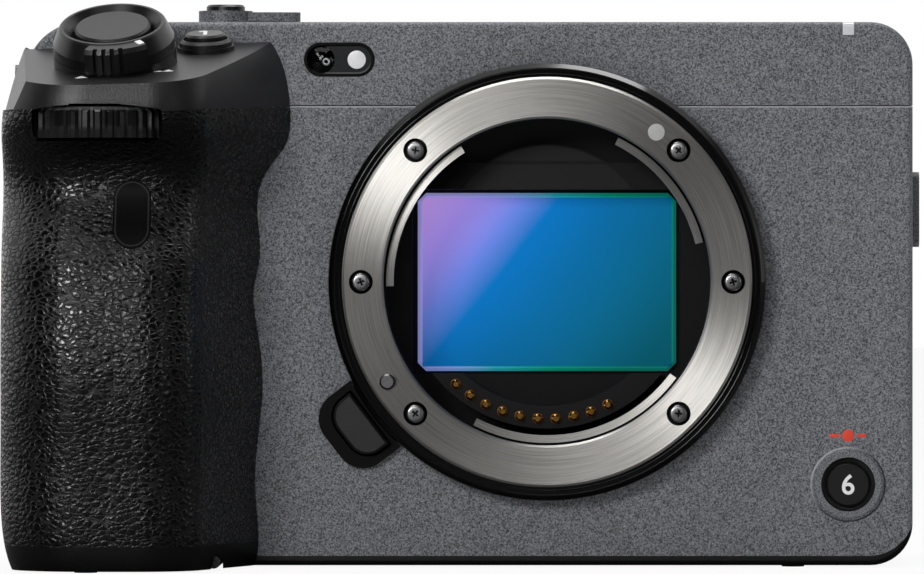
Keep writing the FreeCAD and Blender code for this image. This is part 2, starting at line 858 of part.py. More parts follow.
def grip_plug():
    body = grip_form(-plug_proud).cut(grip_form(skin_thick))
    return body.common(plug_outline(0))


def cap_normal():
    return Vec(-cap_roll, -cap_slope, 1).normalize()


def cap_height(x, y):
    return cap_edge_height + cap_slope * (y - cap_low_point[1]) + cap_roll * (x - cap_low_point[0])


def shutter_axis():
    tilt = math.radians(shutter_tilt)
    roll = math.radians(shutter_roll)
    return Vec(-math.sin(roll), -math.sin(tilt) * math.cos(roll), math.cos(tilt) * math.cos(roll))


def neck_top():
    return -shutter_thick - shutter_travel - 2 * run_fit


def custom_mouth():
    x, y = custom_spot
    return Vec(x, y, cap_height(x, y)) + cap_normal() * collar_height


def grip_cap():
    below = below_cap()
    cap = grip_form(0).cut([below, box(-far, 0, -far, far, -1, grip_foot)])
    cap = cap.cut([beyond((cap_low_point[0], cap_low_point[1], cap_edge_height), cap_normal()),
                   beyond(cap_bevel_at, cap_bevel_facing)])
    axis = shutter_axis()
    low = -lever_height - run_fit
    platform = turned([(0, low), (platform_radius, low), (platform_radius, -platform_depth),
                       (0, -platform_depth)], shutter_top, axis)
    neck = turned([(0, neck_top()), (neck_radius, neck_top()), (neck_radius, low - 1), (0, low - 1)],
                  shutter_top, axis)
    x, y = custom_spot
    collar = turned([(0, -2), (custom_collar, -2), (custom_collar, collar_height - 0.4),
                     (custom_collar - 0.4, collar_height), (0, collar_height)],
                    (x, y, cap_height(x, y)), cap_normal())
    room = box(case_left, 0, -far, case_front, 0, far)
    cap = joined(cap, platform.common(room), neck, collar.common(room))
    cap = with_button_seat(cap, custom_mouth(), cap_normal(), custom_radius, press_travel)
    cap = cap.cut([below, dial_cavity()])
    stem = turned([(0, 0), (stem_radius + run_fit, 0), (stem_radius + run_fit, -8), (0, -8)],
                  shutter_top, axis)
    pin = rod(dial_pin, (dial_x, dial_y, dial_low - 2.5), (0, 0, 1), dial_thick + 3.5)
    return joined(cap.cut(stem), pin)


def shutter_button():
    end = shutter_thick + shutter_travel + 4
    profile = [(0, 0), (shutter_radius - cap_bevel, 0), (shutter_radius, -cap_bevel),
               (shutter_radius, -shutter_thick), (stem_radius, -shutter_thick),
               (stem_radius, -end), (0, -end)]
    return turned(profile, shutter_top, shutter_axis())


def tab_point(radius, angle):
    turn = math.radians(angle)
    return Vec(radius * math.sin(turn), -radius * math.cos(turn), -lever_height)


def lever_tab():
    """Finger tab at the lever's front, grooved on one side and smooth on the other."""
    start, end = tab_ends
    middle = (start + end) / 2
    inner = lever_rim_inner
    wire = Part.Wire([Part.Arc(*[tab_point(inner, a) for a in (start, middle, end)]).toShape(),
                      Part.LineSegment(tab_point(inner, end), tab_point(tab_reach, end)).toShape(),
                      Part.Arc(*[tab_point(tab_reach, a) for a in (end, middle, start)]).toShape(),
                      Part.LineSegment(tab_point(tab_reach, start), tab_point(inner, start)).toShape()])
    tab = Part.Face(wire).extrude(Vec(0, 0, lever_height + lever_rise - tab_drop))
    top = lever_rise + 1
    inset, drop = tab_slope
    cuts = [turned([(tab_reach - inset, top), (tab_reach + 1, top),
                    (tab_reach + 1, -lever_waist - drop)], (0, 0, 0), (0, 0, 1))]
    for angle in tab_grooves:
        groove = box(-groove_width / 2, groove_width / 2, -tab_reach - 1, groove_depth - tab_reach,
                     -lever_height - 1, top)
        groove.rotate(Vec(), Vec(0, 0, 1), angle)
        cuts.append(groove)
    return tab.cut(cuts)


def zoom_lever():
    low = -lever_height
    shelf = neck_top() - run_fit
    ring = turned([(neck_radius + run_fit, low), (lever_skirt_radius, low),
                   (lever_skirt_radius, -lever_waist), (lever_top_radius, 0),
                   (lever_top_radius - lever_rise, lever_rise), (lever_rim_inner, lever_rise),
                   (lever_well_radius, -lever_bowl), (lever_well_radius, shelf),
                   (neck_radius + run_fit, shelf)], (0, 0, 0), (0, 0, 1))
    lever = joined(ring, lever_tab())
    lever.Placement = placed(shutter_top, shutter_axis())
    return lever


def front_dial():
    place = ((dial_x, dial_y, dial_low), (0, 0, 1))
    dial = ribbed_disc(dial_radius, rib_depth, dial_ribs, dial_thick, dial_pin + run_fit, *place)
    form = turned([(0, 0), (dial_radius, 0), (dial_radius, dial_thick - dial_rim_bevel),
                   (dial_radius - dial_rim_bevel, dial_thick), (0, dial_thick)], *place)
    return dial.common(form)


# Lens mount

def mount_point(radius, angle, y):
    x, z = on_circle(radius, angle)
    return (x, y, z)


def mount_ring():
    face = (0, flange_face, axis_height)
    ring = turned([(bore_radius + ring_chamfer, 0), (ring_radius - ring_chamfer, 0),
                   (ring_radius, -ring_chamfer), (ring_radius, -ring_thick),
                   (bore_radius + throat_relief, -ring_thick),
                   (bore_radius + throat_relief, -tab_depth), (bore_radius, -tab_depth),
                   (bore_radius, -ring_chamfer)], face, (0, -1, 0))
    tabs = [sector(tab_inner, bore_radius + 1, a0, a1, flange_face + tab_depth,
                   flange_face + tab_depth + tab_thick) for a0, a1 in tab_spans]
    ring = joined(ring, *tabs)
    cuts = [rod(index_radius, mount_point(index_circle, index_angle, flange_face - 1), (0, 1, 0), 1.15),
            rod(lock_radius + run_fit, mount_point(lock_circle, lock_angle, flange_face - 1),
                (0, 1, 0), ring_thick + 2)]
    for angle in mount_screw_angles:
        front = mount_point(mount_screw_circle, angle, flange_face - 1)
        cuts.append(rod(mount_screw_sink, front, (0, 1, 0), 1 + sink_depth))
        cuts.append(rod(screw_shank + run_fit, front, (0, 1, 0), ring_thick + 2))
    return ring.cut(cuts)


def mount_screws():
    low = sink_depth
    profile = [(0, 0.15), (mount_screw_head * 0.7, 0.12), (mount_screw_head, -0.2),
               (mount_screw_head, -low), (screw_shank, -low), (screw_shank, -ring_thick - 2),
               (0, -ring_thick - 2)]
    return Part.makeCompound([turned(profile, mount_point(mount_screw_circle, a, flange_face),
                                     (0, -1, 0)) for a in mount_screw_angles])


def mount_trim_ring():
    inner = ring_radius + glue_gap
    high = case_front - trim_front
    return turned([(inner, 0), (trim_radius + trim_flare, 0), (trim_radius, high - 0.7),
                   (trim_radius - 0.6, high), (inner, high)],
                  (0, case_front, axis_height), (0, -1, 0))


def ring_back():
    return flange_face + ring_thick


def window_box(y0, y1):
    half = window_width / 2
    return box(-half, half, y0, y1, window_low, window_high)


def throat_housing():
    inside = bore_radius + throat_relief
    seat = case_front + case_wall
    back = throat_floor + floor_thick
    profile = [(inside, ring_back()), (ring_radius, ring_back()),
               (ring_radius, seat), (housing_seat, seat), (housing_seat, seat + housing_wall),
               (housing_radius, seat + housing_wall), (housing_radius, back), (0, back), (0, throat_floor),
               (inside, throat_floor)]
    housing = turned(profile, (0, 0, axis_height), (0, 1, 0))
    post_x = frame_half_width() - stage_post - slip_gap
    post_z = frame_half_height() - stage_post - slip_gap
    posts = [rod(stage_post, (sx * post_x, back - 1, glass_middle() + sz * post_z), (0, 1, 0),
                 stage_front() - glue_gap * 2 - back + 1) for sx in (-1, 1) for sz in (-1, 1)]
    bridge = box(-post_x - stage_post, post_x + stage_post, back - floor_thick, back,
                 glass_middle() - post_z - stage_post, glass_middle() + post_z + stage_post)
    housing = joined(housing, bridge, *posts)
    bore = rod(inside, (0, ring_back() - 1, axis_height), (0, 1, 0), throat_floor - ring_back() + 1)
    well = release_shape(trim_radius - 2, well_reach, well_width + 1, well_corner,
                         case_front - 1, case_front + well_depth + 1)
    holes = [rod(screw_shank + run_fit, mount_point(mount_screw_circle, a, ring_back() - 1),
                 (0, 1, 0), 4) for a in mount_screw_angles]
    pin = rod(lock_radius + run_fit, mount_point(lock_circle, lock_angle, ring_back() - 1),
              (0, 1, 0), lock_length + lock_proud)
    well = well.cut(rod(ring_radius + slip_gap, (0, -far, axis_height), (0, 1, 0), 2 * far))
    return housing.cut([bore, window_box(throat_floor - 1, back + 1), well, pin] + holes)


def contact_block():
    ring = turned([(contact_inner, contact_face), (contact_outer, contact_face),
                   (contact_outer, throat_floor), (contact_inner, throat_floor)],
                  (0, 0, axis_height), (0, 1, 0))
    ring = ring.common(box(-far, far, -far, far, 0, axis_height - contact_drop))
    return ring.cut([rod(pin_radius, point, (0, 1, 0), pin_sunk + 0.5)
                     for point in pin_points(contact_face - 0.5)])


def pin_points(y):
    step = (pin_last - pin_first) / (pin_count - 1)
    return [mount_point(pin_circle, pin_first + i * step, y) for i in range(pin_count)]


def contact_pins():
    tip = pin_proud
    low = -pin_sunk
    profile = [(0, tip), (pin_radius * 0.6, tip), (pin_radius, tip - pin_radius * 0.4),
               (pin_radius, low), (0, low)]
    return Part.makeCompound([turned(profile, point, (0, -1, 0)) for point in pin_points(contact_face)])


def sensor_baffle():
    front = throat_floor - baffle_thick
    band = box(-bore_radius, bore_radius, front, throat_floor, baffle_low, baffle_high)
    bulge_radius = (baffle_half ** 2 + baffle_rise ** 2) / (2 * baffle_rise)
    bulge = rod(bulge_radius, (0, front, baffle_high + baffle_rise - bulge_radius), (0, 1, 0),
                baffle_thick).common(box(-far, far, -far, far, baffle_high - 1, far))
    return joined(band, bulge).common(rod(bore_radius, (0, front, axis_height), (0, 1, 0),
                                          baffle_thick))


# Lens release

def release_well():
    y0 = case_front - well_proud
    outer = release_shape(trim_radius - 1, well_reach, well_width, well_corner, y0, case_front)
    cup = release_shape(trim_radius - 1, well_reach - 1 - glue_gap, well_width - 2 - 2 * glue_gap,
                        well_corner - 1, y0, case_front + well_depth)
    body = joined(outer, cup)
    inside = rod(trim_radius + trim_flare + glue_gap, (0, -far, axis_height), (0, 1, 0), 2 * far)
    pocket = release_cavity(y0 - 1, case_front + well_depth - 1)
    bore = rod(stem_radius + run_fit, release_stem(y0), (0, 1, 0), far)
    return body.cut([inside, pocket, bore])


def release_stem(y):
    return mount_point((release_start + release_reach) / 2, release_angle, y)


def release_button():
    front = case_front - release_proud
    back = case_front + well_depth - 1 - release_travel - slip_gap
    cap = release_shape(release_start, release_reach, release_width, release_corner, front, back)
    cap = cap.cut(rod(trim_radius + trim_flare + 2 * glue_gap + slip_gap, (0, -far, axis_height),
                      (0, 1, 0), 2 * far))
    edges = [e for e in cap.Edges if abs(e.BoundBox.YMax - front) < 1e-3]
    cap = cap.makeChamfer(0.35, edges)
    stem = rod(stem_radius, release_stem(back - 0.5), (0, 1, 0), 4)
    return joined(cap, stem)


def lock_pin():
    profile = [(0, lock_proud), (lock_radius - 0.25, lock_proud), (lock_radius, lock_proud - 0.25),
               (lock_radius, lock_proud - lock_length), (0, lock_proud - lock_length)]
    return turned(profile, mount_point(lock_circle, lock_angle, flange_face), (0, -1, 0))


# Sensor and shutter

def glass_middle():
    return axis_height


def sensor_glass():
    half_w = glass_width / 2
    half_h = glass_height / 2
    z = glass_middle()
    c = glass_chamfer
    corners = [(-half_w + c, z - half_h), (half_w - c, z - half_h), (half_w, z - half_h + c),
               (half_w, z + half_h - c), (half_w - c, z + half_h), (-half_w + c, z + half_h),
               (-half_w, z + half_h - c), (-half_w, z - half_h + c)]
    glass = prism([(u, v, 0) for u, v in corners], front_plane(glass_front), (0, glass_thick, 0))
    edges = [e for e in glass.Edges if abs(e.BoundBox.YMax - glass_front) < 1e-3]
    return glass.makeChamfer(glass_bevel, edges)


def stage_front():
    return glass_front + glass_thick + stage_air


def carriage_half_width():
    return glass_width / 2 + carriage_border


def carriage_half_height():
    return glass_height / 2 + carriage_border


def frame_half_width():
    return carriage_half_width() + stage_travel + slip_gap + frame_border


def frame_half_height():
    return carriage_half_height() + stage_travel + slip_gap + frame_border


def sensor_carriage():
    w = carriage_half_width()
    h = carriage_half_height()
    z = glass_middle()
    block = box(-w, w, glass_front + glass_thick, stage_front() + stage_thick, z - h, z + h)
    grow = slip_gap + back_overlap
    back = stage_front() + stage_thick + 2 * glue_gap
    plate = box(-w - grow, w + grow, back, back + back_plate, z - h - grow, z + h + grow)
    web = box(-w, w, back - 2 * glue_gap, back, z - h, z + h)
    return joined(block, web, plate)


def sensor_frame():
    w = frame_half_width()
    h = frame_half_height()
    z = glass_middle()
    gap = stage_travel + slip_gap
    y0 = stage_front()
    plate = prism(rounded(-w, w, z - h, z + h, 2.0), front_plane(y0), (0, stage_thick, 0))
    hole = box(-carriage_half_width() - gap, carriage_half_width() + gap, y0 - 1,
               y0 + stage_thick + 1, z - carriage_half_height() - gap, z + carriage_half_height() + gap)
    return plate.cut(hole)


def blade_travel():
    """Fall of the slower blade; the other one falls twice as far."""
    return (window_high + blade_rest - window_low + blade_cover) / 2


def curtain_blade(layer):
    """One blade of the open shutter curtain, stowed above the window."""
    y0 = throat_floor + floor_thick + blade_gap + layer * (blade_thick + blade_gap)
    half = blade_width / 2
    low = window_high + blade_rest
    return prism(rounded(-half, half, low, low + blade_travel() + blade_lap, 1.0), front_plane(y0),
                 (0, blade_thick, 0))


# Lamps on the front

def signal_window():
    wx, wz = window_centre
    w = window_size[0] / 2 - glue_gap
    h = window_size[1] / 2 - glue_gap
    plate = prism(rounded(wx - w, wx + w, wz - h, wz + h, h - 0.01), front_plane(case_front),
                  (0, window_depth, 0))
    well = prism(rounded(wx - w + 0.35, wx + w - 0.35, wz - h + 0.35, wz + h - 0.35, h - 0.36),
                 front_plane(case_front - 1), (0, window_recess + 1, 0))
    holes = [rod(radius + glue_gap, (x, case_front - 1, wz), (0, 1, 0), window_depth)
             for x, radius in ((focus_lamp_x, focus_lamp_radius), (light_disc_x, light_disc_radius))]
    return plate.cut([well] + holes)


def front_lens(x, radius, dome):
    base = case_front + window_depth - 1.0
    high = base - case_front - window_recess + 0.1
    profile = [(0, 0), (radius, 0), (radius, high), (radius * 0.6, high + dome * 0.64), (0, high + dome)]
    return turned(profile, (x, base, window_centre[1]), (0, -1, 0))


def tally_lamp():
    g = glue_gap
    lamp = box(tally_left + g, tally_right - g, case_front, case_front + tally_depth - g,
               tally_low + g, case_height)
    edge = [e for e in lamp.Edges if abs(e.BoundBox.YMax - case_front) < 1e-3
            and abs(e.BoundBox.ZMin - case_height) < 1e-3]
    return lamp.makeFillet(rim_round, edge)


# Top

def accessory_shoe():
    floor = case_height - pocket_depth
    half = shoe_width / 2
    high = shoe_floor + shoe_slot_high + shoe_rail
    body = box(-half, half, shoe_front + glue_gap, shoe_back, floor, floor + high)
    slot = box(-shoe_slot / 2, shoe_slot / 2, shoe_front + 1.5, shoe_back + 1,
               floor + shoe_floor, floor + shoe_floor + shoe_slot_high)
    mouth = box(-shoe_mouth / 2, shoe_mouth / 2, shoe_front + 1.5, shoe_back + 1,
                floor + shoe_floor, floor + high + 1)
    return body.cut([slot, mouth])


def thread_inserts():
    top = case_height - insert_sink
    low = case_height - insert_depth
    profile = [(thread_radius + 0.4, top), (insert_radius, top), (insert_radius, low), (0, low),
               (0, top - insert_thread), (thread_radius, top - insert_thread),
               (thread_radius, top - 0.4)]
    return Part.makeCompound([turned(profile, (x, insert_y, 0), (0, 0, 1)) for x in insert_spots])


def custom_button():
    return push_button(custom_mouth(), cap_normal(), custom_radius, 0.8, press_travel)


def power_lever():
    x, y = power_spot
    ring = rod(power_ring_radius, (x, y, power_ring_low), (0, 0, 1), power_ring_high - power_ring_low)
    half = power_arm_width / 2
    arm = prism([(x, y - half, 0), (x + power_arm_reach, y - half * 0.7, 1.2),
                 (x + power_arm_reach, y + half * 0.7, 1.2), (x, y + half, 0)],
                level_plane(power_arm_low), (0, 0, power_arm_high - power_arm_low))
    hole = rod(power_core_radius + run_fit, (x, y, -far), (0, 0, 1), 2 * far)
    return joined(ring, arm).cut(hole)


def top_record_button():
    x, y = power_spot
    low = power_core_high + press_travel + 2 * run_fit
    end = case_height - 5
    profile = [(0, top_button_high), (top_button_radius - cap_bevel, top_button_high),
               (top_button_radius, top_button_high - cap_bevel), (top_button_radius, low),
               (stem_radius, low), (stem_radius, end), (0, end)]
    return turned(profile, (x, y, 0), (0, 0, 1))


def front_record_button():
    x, z = record_spot
    return push_button((x, case_front, z), (0, -1, 0), record_radius, record_proud, press_travel)


# Strap bars

def strap_bar(side, low, high, y, proud):
    """Bar that stands on two feet off the side of the case."""
    face = case_right if side > 0 else case_left
    outer = prism(rounded(y - strap_width / 2, y + strap_width / 2, low, high, strap_width / 2 - 0.01),
                  side_plane(face), (side * proud, 0, 0))
    if proud > strap_bar_thick:
        gap = proud - strap_bar_thick
        outer = outer.cut(prism(rounded(y - strap_width, y + strap_width, low + strap_foot,
                                        high - strap_foot, 0.5),
                                side_plane(face), (side * gap, 0, 0)))
    return outer


def strap_bars():
    right = strap_bar(1, strap_right[0], strap_right[1], strap_right_y, strap_right_proud)
    left = strap_bar(-1, strap_left[0], strap_left[1], strap_left_y, strap_left_proud)
    return Part.makeCompound([right, left])


# Rear controls

def control_wheel():
    x, z = wheel_spot
    low = -wheel_sink + 2 * run_fit
    disc = ribbed_disc(wheel_radius, 0.35, wheel_ribs, wheel_proud - low, wheel_post + run_fit,
                       (0, 0, low), (0, 0, 1))
    cone = turned([(0, -9), (wheel_radius + 3, -9), (wheel_radius + 3, wheel_proud - 1.6),
                   (wheel_radius - 1.2, wheel_proud - 0.2), (wheel_post, wheel_proud - 0.7),
                   (0, wheel_proud - 0.7)], (0, 0, 0), (0, 0, 1))
    wheel = disc.common(cone)
    wheel.Placement = placed((x, case_back, z), (0, 1, 0))
    return wheel


def rear_button(spot):
    return push_button((spot[0], case_back, spot[1]), (0, 1, 0), rear_button_radius, 0.7, press_travel)


def centre_button():
    return push_button((wheel_spot[0], case_back, wheel_spot[1]), (0, 1, 0), centre_radius, 0.5,
                       press_travel)


def stick_centre():
    return (stick_spot[0], case_back - stick_pivot, stick_spot[1])


def joystick():
    high = stick_pivot + 2.4
    profile = [(0, high), (stick_knob - 0.7, high), (stick_knob, high - 0.6),
               (stick_knob, stick_pivot + 0.9), (1.0, stick_pivot + 0.5), (1.0, -1.4), (0, -1.4)]
    stick = turned(profile, stick_centre(), (0, 1, 0))
    x, y, z = stick_centre()
    reach = gimbal_outer - 0.3
    return joined(stick, rod(stick_tilt_pin, (x, y, z - reach), (0, 0, 1), 2 * reach))


def joystick_gimbal():
    x, y, z = stick_centre()
    half = gimbal_thick / 2
    ring = turned([(gimbal_inner, -half), (gimbal_outer, -half), (gimbal_outer, half),
                   (gimbal_inner, half)], stick_centre(), (0, 1, 0))
    reach = stick_tube - 0.3
    pins = [rod(stick_tilt_pin, (x + s * (gimbal_outer - 0.5) - (0 if s > 0 else reach - gimbal_outer + 0.5),
                                 y, z), (1, 0, 0), reach - gimbal_outer + 0.5) for s in (-1, 1)]
    bore = rod(stick_tilt_pin + run_fit, (x, y, z - far), (0, 0, 1), 2 * far)
    return joined(ring.cut(bore), *pins)


def rear_dial():
    x, y = rear_dial_spot
    return ribbed_disc(rear_dial_radius, rib_depth, rear_dial_ribs, rear_dial_thick,
                       dial_pin + run_fit, (x, y, rear_dial_low), (0, 0, 1))


def thumb_rest():
    """Hook for the thumb, lofted from a shallow foot to its deepest part near the top."""
    sections = []
    for share, left, right, short, corner in thumb_stations:
        tip = thumb_tip - short
        corners = [(left, case_back, 0), (right, case_back, 0), (right, tip, corner), (left, tip, corner)]
        height = thumb_low + share * (thumb_high - thumb_low)
        sections.append(outline(corners, level_plane(height), soft_arc))
    rest = Part.makeLoft(sections, True, False)
    rim = [e for e in rest.Edges if e.BoundBox.ZMin > thumb_high - 1e-3
           and e.BoundBox.YMax > case_back + 1e-3]
    return rest.makeFillet(thumb_round, rim)


# Monitor

def hinge_y():
    return (monitor_front + monitor_back) / 2 - 0.15


def ear_heights():
    return (monitor_low - hinge_ear - 0.5, monitor_high + 0.5)


def monitor_arm():
    low = monitor_low - 0.2
    high = monitor_high + 0.2
    barrel = rod(hinge_radius, (hinge_x, hinge_y(), low), (0, 0, 1), high - low)
    pin = rod(hinge_pin, (hinge_x, hinge_y(), low - hinge_ear + 0.6), (0, 0, 1),
              high - low + 2 * hinge_ear - 1.2)
    plate = box(monitor_right, hinge_x, hinge_y() - arm_plate / 2, hinge_y() + arm_plate / 2,
                monitor_low + 8, monitor_high - 8)
    return joined(barrel, pin, plate)


def glass_pocket(grow, y0, y1):
    m = glass_margin - grow
    return prism(rounded(monitor_left + m, monitor_right - m, monitor_low + m, monitor_high - m, 2.0),
                 front_plane(y0), (0, y1 - y0, 0))


def monitor_housing():
    body = prism(rounded(monitor_left, monitor_right, monitor_low, monitor_high, monitor_round),
                 front_plane(monitor_front), (0, monitor_back - monitor_front, 0))
    rims = [e for e in body.Edges if abs(e.BoundBox.YMax - monitor_front) < 1e-3
            or abs(e.BoundBox.YMin - monitor_back) < 1e-3]
    body = body.makeFillet(0.7, rims)
    return body.cut(glass_pocket(glue_gap, monitor_back - glass_sheet - glue_gap, monitor_back + 1))


def monitor_glass():
    return glass_pocket(0, monitor_back - glass_sheet, monitor_back - glue_gap)


# Doors

def battery_door():
    half = door_thick / 2
    y0 = battery_front - door_margin
    y1 = bay_back() + door_margin
    plate = box(battery_left, battery_hinge_x, y0, y1, door_sink, door_sink + door_thick)
    knuckle = rod(half, (battery_hinge_x, y0, door_sink + half), (0, 1, 0), y1 - y0)
    slot = latch_box(door_gap, latch_travel)
    return joined(plate, knuckle).cut(slot)


def latch_box(grow, travel):
    wide, long = latch_size
    x0 = battery_left + 1.2
    y0 = (battery_front + bay_back()) / 2 - long / 2
    return box(x0 - grow, x0 + wide + grow, y0 - grow, y0 + long + travel + grow,
               door_sink - (1 if grow else 0), door_sink + 1.0 + (glue_gap if grow else 0))


def battery_latch():
    latch = latch_box(0, 0)
    x0 = battery_left + 1.2
    y0 = (battery_front + bay_back()) / 2 - latch_size[1] / 2
    grooves = [box(x0 - 1, x0 + latch_size[0] + 1, y0 + 1.2 + i * 1.6, y0 + 1.9 + i * 1.6,
                   door_sink - 1, door_sink + 0.35) for i in range(5)]
    return latch.cut(grooves)


def side_door(side, low, high, hinge_at, free):
    """Flap that closes flush with the side, with its hinge knuckle along one upright edge."""
    face = case_right if side > 0 else case_left
    inner = face - side * side_door_thick
    y0, y1 = min(hinge_at, free), max(hinge_at, free)
    plate = box(min(face, inner), max(face, inner), y0, y1, low, high)
    knuckle = rod(side_hinge, (face - side * side_hinge, hinge_at, low), (0, 0, 1), high - low)
    notch = box(min(face, face - side * 0.6), max(face, face - side * 0.6) + (1 if side > 0 else 0),
                min(free, free - (2 if free > hinge_at else -2)),
                max(free, free - (2 if free > hinge_at else -2)),
                (low + high) / 2 - 5, (low + high) / 2 + 5)
    return joined(plate, knuckle).cut(notch)


def port_door():
    return side_door(1, port_low, port_high, side_door_front + side_hinge, side_door_back)


def card_door():
    return side_door(-1, card_low, card_high, side_door_back - side_hinge,
                     cage_front() - card_lead)


# Inside the case

def battery():
    wide, deep, tall = battery_size
    corners = rounded(battery_left, battery_left + wide, battery_front, battery_front + deep, 1.5)
    return prism(corners, level_plane(battery_low()), (0, 0, tall))


def main_board():
    x0, x1, z0, z1 = board_span
    board = box(x0, x1, board_front, board_front + board_thick, z0, z1)
    chips = [box(x, x + w, board_front + board_thick, board_front + board_thick + chip_thick, z, z + w)
             for x, z, w in board_chips]
    return joined(board, *chips)


def heat_sink():
    x0, x1, z0, z1 = sink_span
    plate = box(x0, x1, board_front - sink_base, board_front, z0, z1)
    pitch = (x1 - x0 - fin_thick) / (fin_count - 1)
    fins = [box(x0 + i * pitch, x0 + i * pitch + fin_thick, board_front - sink_base - fin_depth,
                board_front - sink_base, z0, z1) for i in range(fin_count)]
    return joined(plate, *fins)


def fan_y0():
    return board_front - fan_depth


def fan_housing():
    x, z = fan_centre
    half = fan_size / 2
    body = prism(rounded(x - half, x + half, z - half, z + half, 2.0), front_plane(fan_y0()),
                 (0, fan_depth, 0))
    bore = rod(fan_bore, (x, fan_y0() - 1, z), (0, 1, 0), fan_depth + 2)
    spoke = box(x - fan_bore - 0.5, x + fan_bore + 0.5, board_front - 1.0, board_front, z - 0.8, z + 0.8)
    cross = box(x - 0.8, x + 0.8, board_front - 1.0, board_front, z - fan_bore - 0.5, z + fan_bore + 0.5)
    hub = rod(fan_hub, (x, board_front - 1.0, z), (0, 1, 0), 1.0)
    post = rod(fan_post, (x, fan_y0() + 1.2, z), (0, 1, 0), fan_depth - 1.2)
    return joined(body.cut(bore), spoke, cross, hub, post)


def fan_rotor():
    x, z = fan_centre
    y0 = fan_y0() + 0.6
    y1 = board_front - 1.0 - slip_gap
    hub = rod(fan_hub, (x, y0, z), (0, 1, 0), y1 - y0)
    blades = []
    for i in range(fan_blades):
        blade = box(-0.4, 0.4, -(y1 - y0) / 2 + 0.3, (y1 - y0) / 2 - 0.3, fan_hub - 0.6,
                    fan_blade_reach - 0.4)
        blade.rotate(Vec(), Vec(0, 0, 1), 32)
        blade.rotate(Vec(), Vec(0, 1, 0), i * 360 / fan_blades)
        blade.translate(Vec(x, (y0 + y1) / 2, z))
        blades.append(blade)
    rotor = joined(hub, *blades).common(rod(fan_blade_reach, (x, y0, z), (0, 1, 0), y1 - y0))
    return rotor.cut(rod(fan_post + run_fit, (x, y0 + 0.5, z), (0, 1, 0), y1 - y0))


def card_slot_cage():
    x0, x1, z0, z1 = cage_span
    body = box(x0, x1, cage_front(), cage_front() + cage_depth, z0, z1)
    high, tall, deep = card_slot
    middle = (z0 + z1) / 2
    pitch = cage_depth / 2
    slots = [box(x0 - 1, x0 + deep, cage_front() + (i + 0.5) * pitch - high / 2,
                 cage_front() + (i + 0.5) * pitch + high / 2, middle - tall / 2, middle + tall / 2)
             for i in range(2)]
    return body.cut(slots)


def port_sockets():
    deep, thick, tall = port_size
    x1 = case_right - side_door_thick - 0.4
    y0 = board_front + board_thick
    sockets = []
    for i, z in enumerate(port_rows):
        body = box(x1 - deep, x1, y0, y0 + thick, z - tall / 2, z + tall / 2)
        middle = (x1 + 1, y0 + thick / 2, z)
        if i == 0:
            mouth = box(x1 - deep + port_wall, x1 + 1, y0 + (thick - port_slot) / 2,
                        y0 + (thick + port_slot) / 2, z - tall / 2 + port_wall, z + tall / 2 - port_wall)
        else:
            mouth = rod(jack_radius, middle, (-1, 0, 0), deep)
        sockets.append(body.cut(mouth))
    return Part.makeCompound(sockets)


nodes = {
    "front_cover": front_cover(),
    "top_cover": top_cover(),
    "rear_cover": rear_cover(),
    "base_plate": base_plate(),
    "cover_screws": cover_screws(),
    "grip_moulding": grip_moulding(),
    "grip_skin": grip_skin(),
    "grip_plug": grip_plug(),
    "grip_cap": grip_cap(),
    "shutter_button": shutter_button(),
    "zoom_lever": zoom_lever(),
    "front_dial": front_dial(),
    "custom_button": custom_button(),
    "mount_ring": mount_ring(),
    "mount_screws": mount_screws(),
    "mount_trim_ring": mount_trim_ring(),
    "throat_housing": throat_housing(),
    "contact_block": contact_block(),
    "contact_pins": contact_pins(),
    "sensor_baffle": sensor_baffle(),
    "release_well": release_well(),
    "release_button": release_button(),
    "lock_pin": lock_pin(),
    "sensor_glass": sensor_glass(),
    "sensor_carriage": sensor_carriage(),
    "sensor_frame": sensor_frame(),
    "curtain_blade_front": curtain_blade(0),
    "curtain_blade_rear": curtain_blade(1),
    "signal_window": signal_window(),
    "focus_lamp_lens": front_lens(focus_lamp_x, focus_lamp_radius, 0.45),
    "light_sensor": front_lens(light_disc_x, light_disc_radius, 0.1),
    "tally_lamp": tally_lamp(),
    "accessory_shoe": accessory_shoe(),
    "thread_inserts": thread_inserts(),
    "power_lever": power_lever(),
    "top_record_button": top_record_button(),
    "front_record_button": front_record_button(),
    "strap_bars": strap_bars(),
    "control_wheel": control_wheel(),
    "centre_button": centre_button(),
    "joystick": joystick(),
    "joystick_gimbal": joystick_gimbal(),
    "rear_dial": rear_dial(),
    "menu_button": rear_button(menu_spot),
    "play_button": rear_button(play_spot),
    "thumb_rest": thumb_rest(),
    "monitor_arm": monitor_arm(),
    "monitor_housing": monitor_housing(),
    "monitor_glass": monitor_glass(),
    "battery": battery(),
    "battery_door": battery_door(),
    "battery_latch": battery_latch(),
    "port_door": port_door(),
    "card_door": card_door(),
    "main_board": main_board(),
    "heat_sink": heat_sink(),
    "fan_housing": fan_housing(),
    "fan_rotor": fan_rotor(),
    "card_slot_cage": card_slot_cage(),
    "port_sockets": port_sockets(),
}

os.makedirs("parts", exist_ok=True)
for name, shape in nodes.items():
    shape.exportStep("parts/" + name + ".step")
print(len(nodes), "nodes")
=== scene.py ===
# %% [markdown]
# # A cinema camera without its lens
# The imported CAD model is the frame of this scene. It brings every rigid piece in its place, in metres,
# and this script adds finishes, small fittings, marks, light and a camera.

# %% Load the frame
import json
import math

import bmesh
import bpy
from mathutils import Matrix, Vector


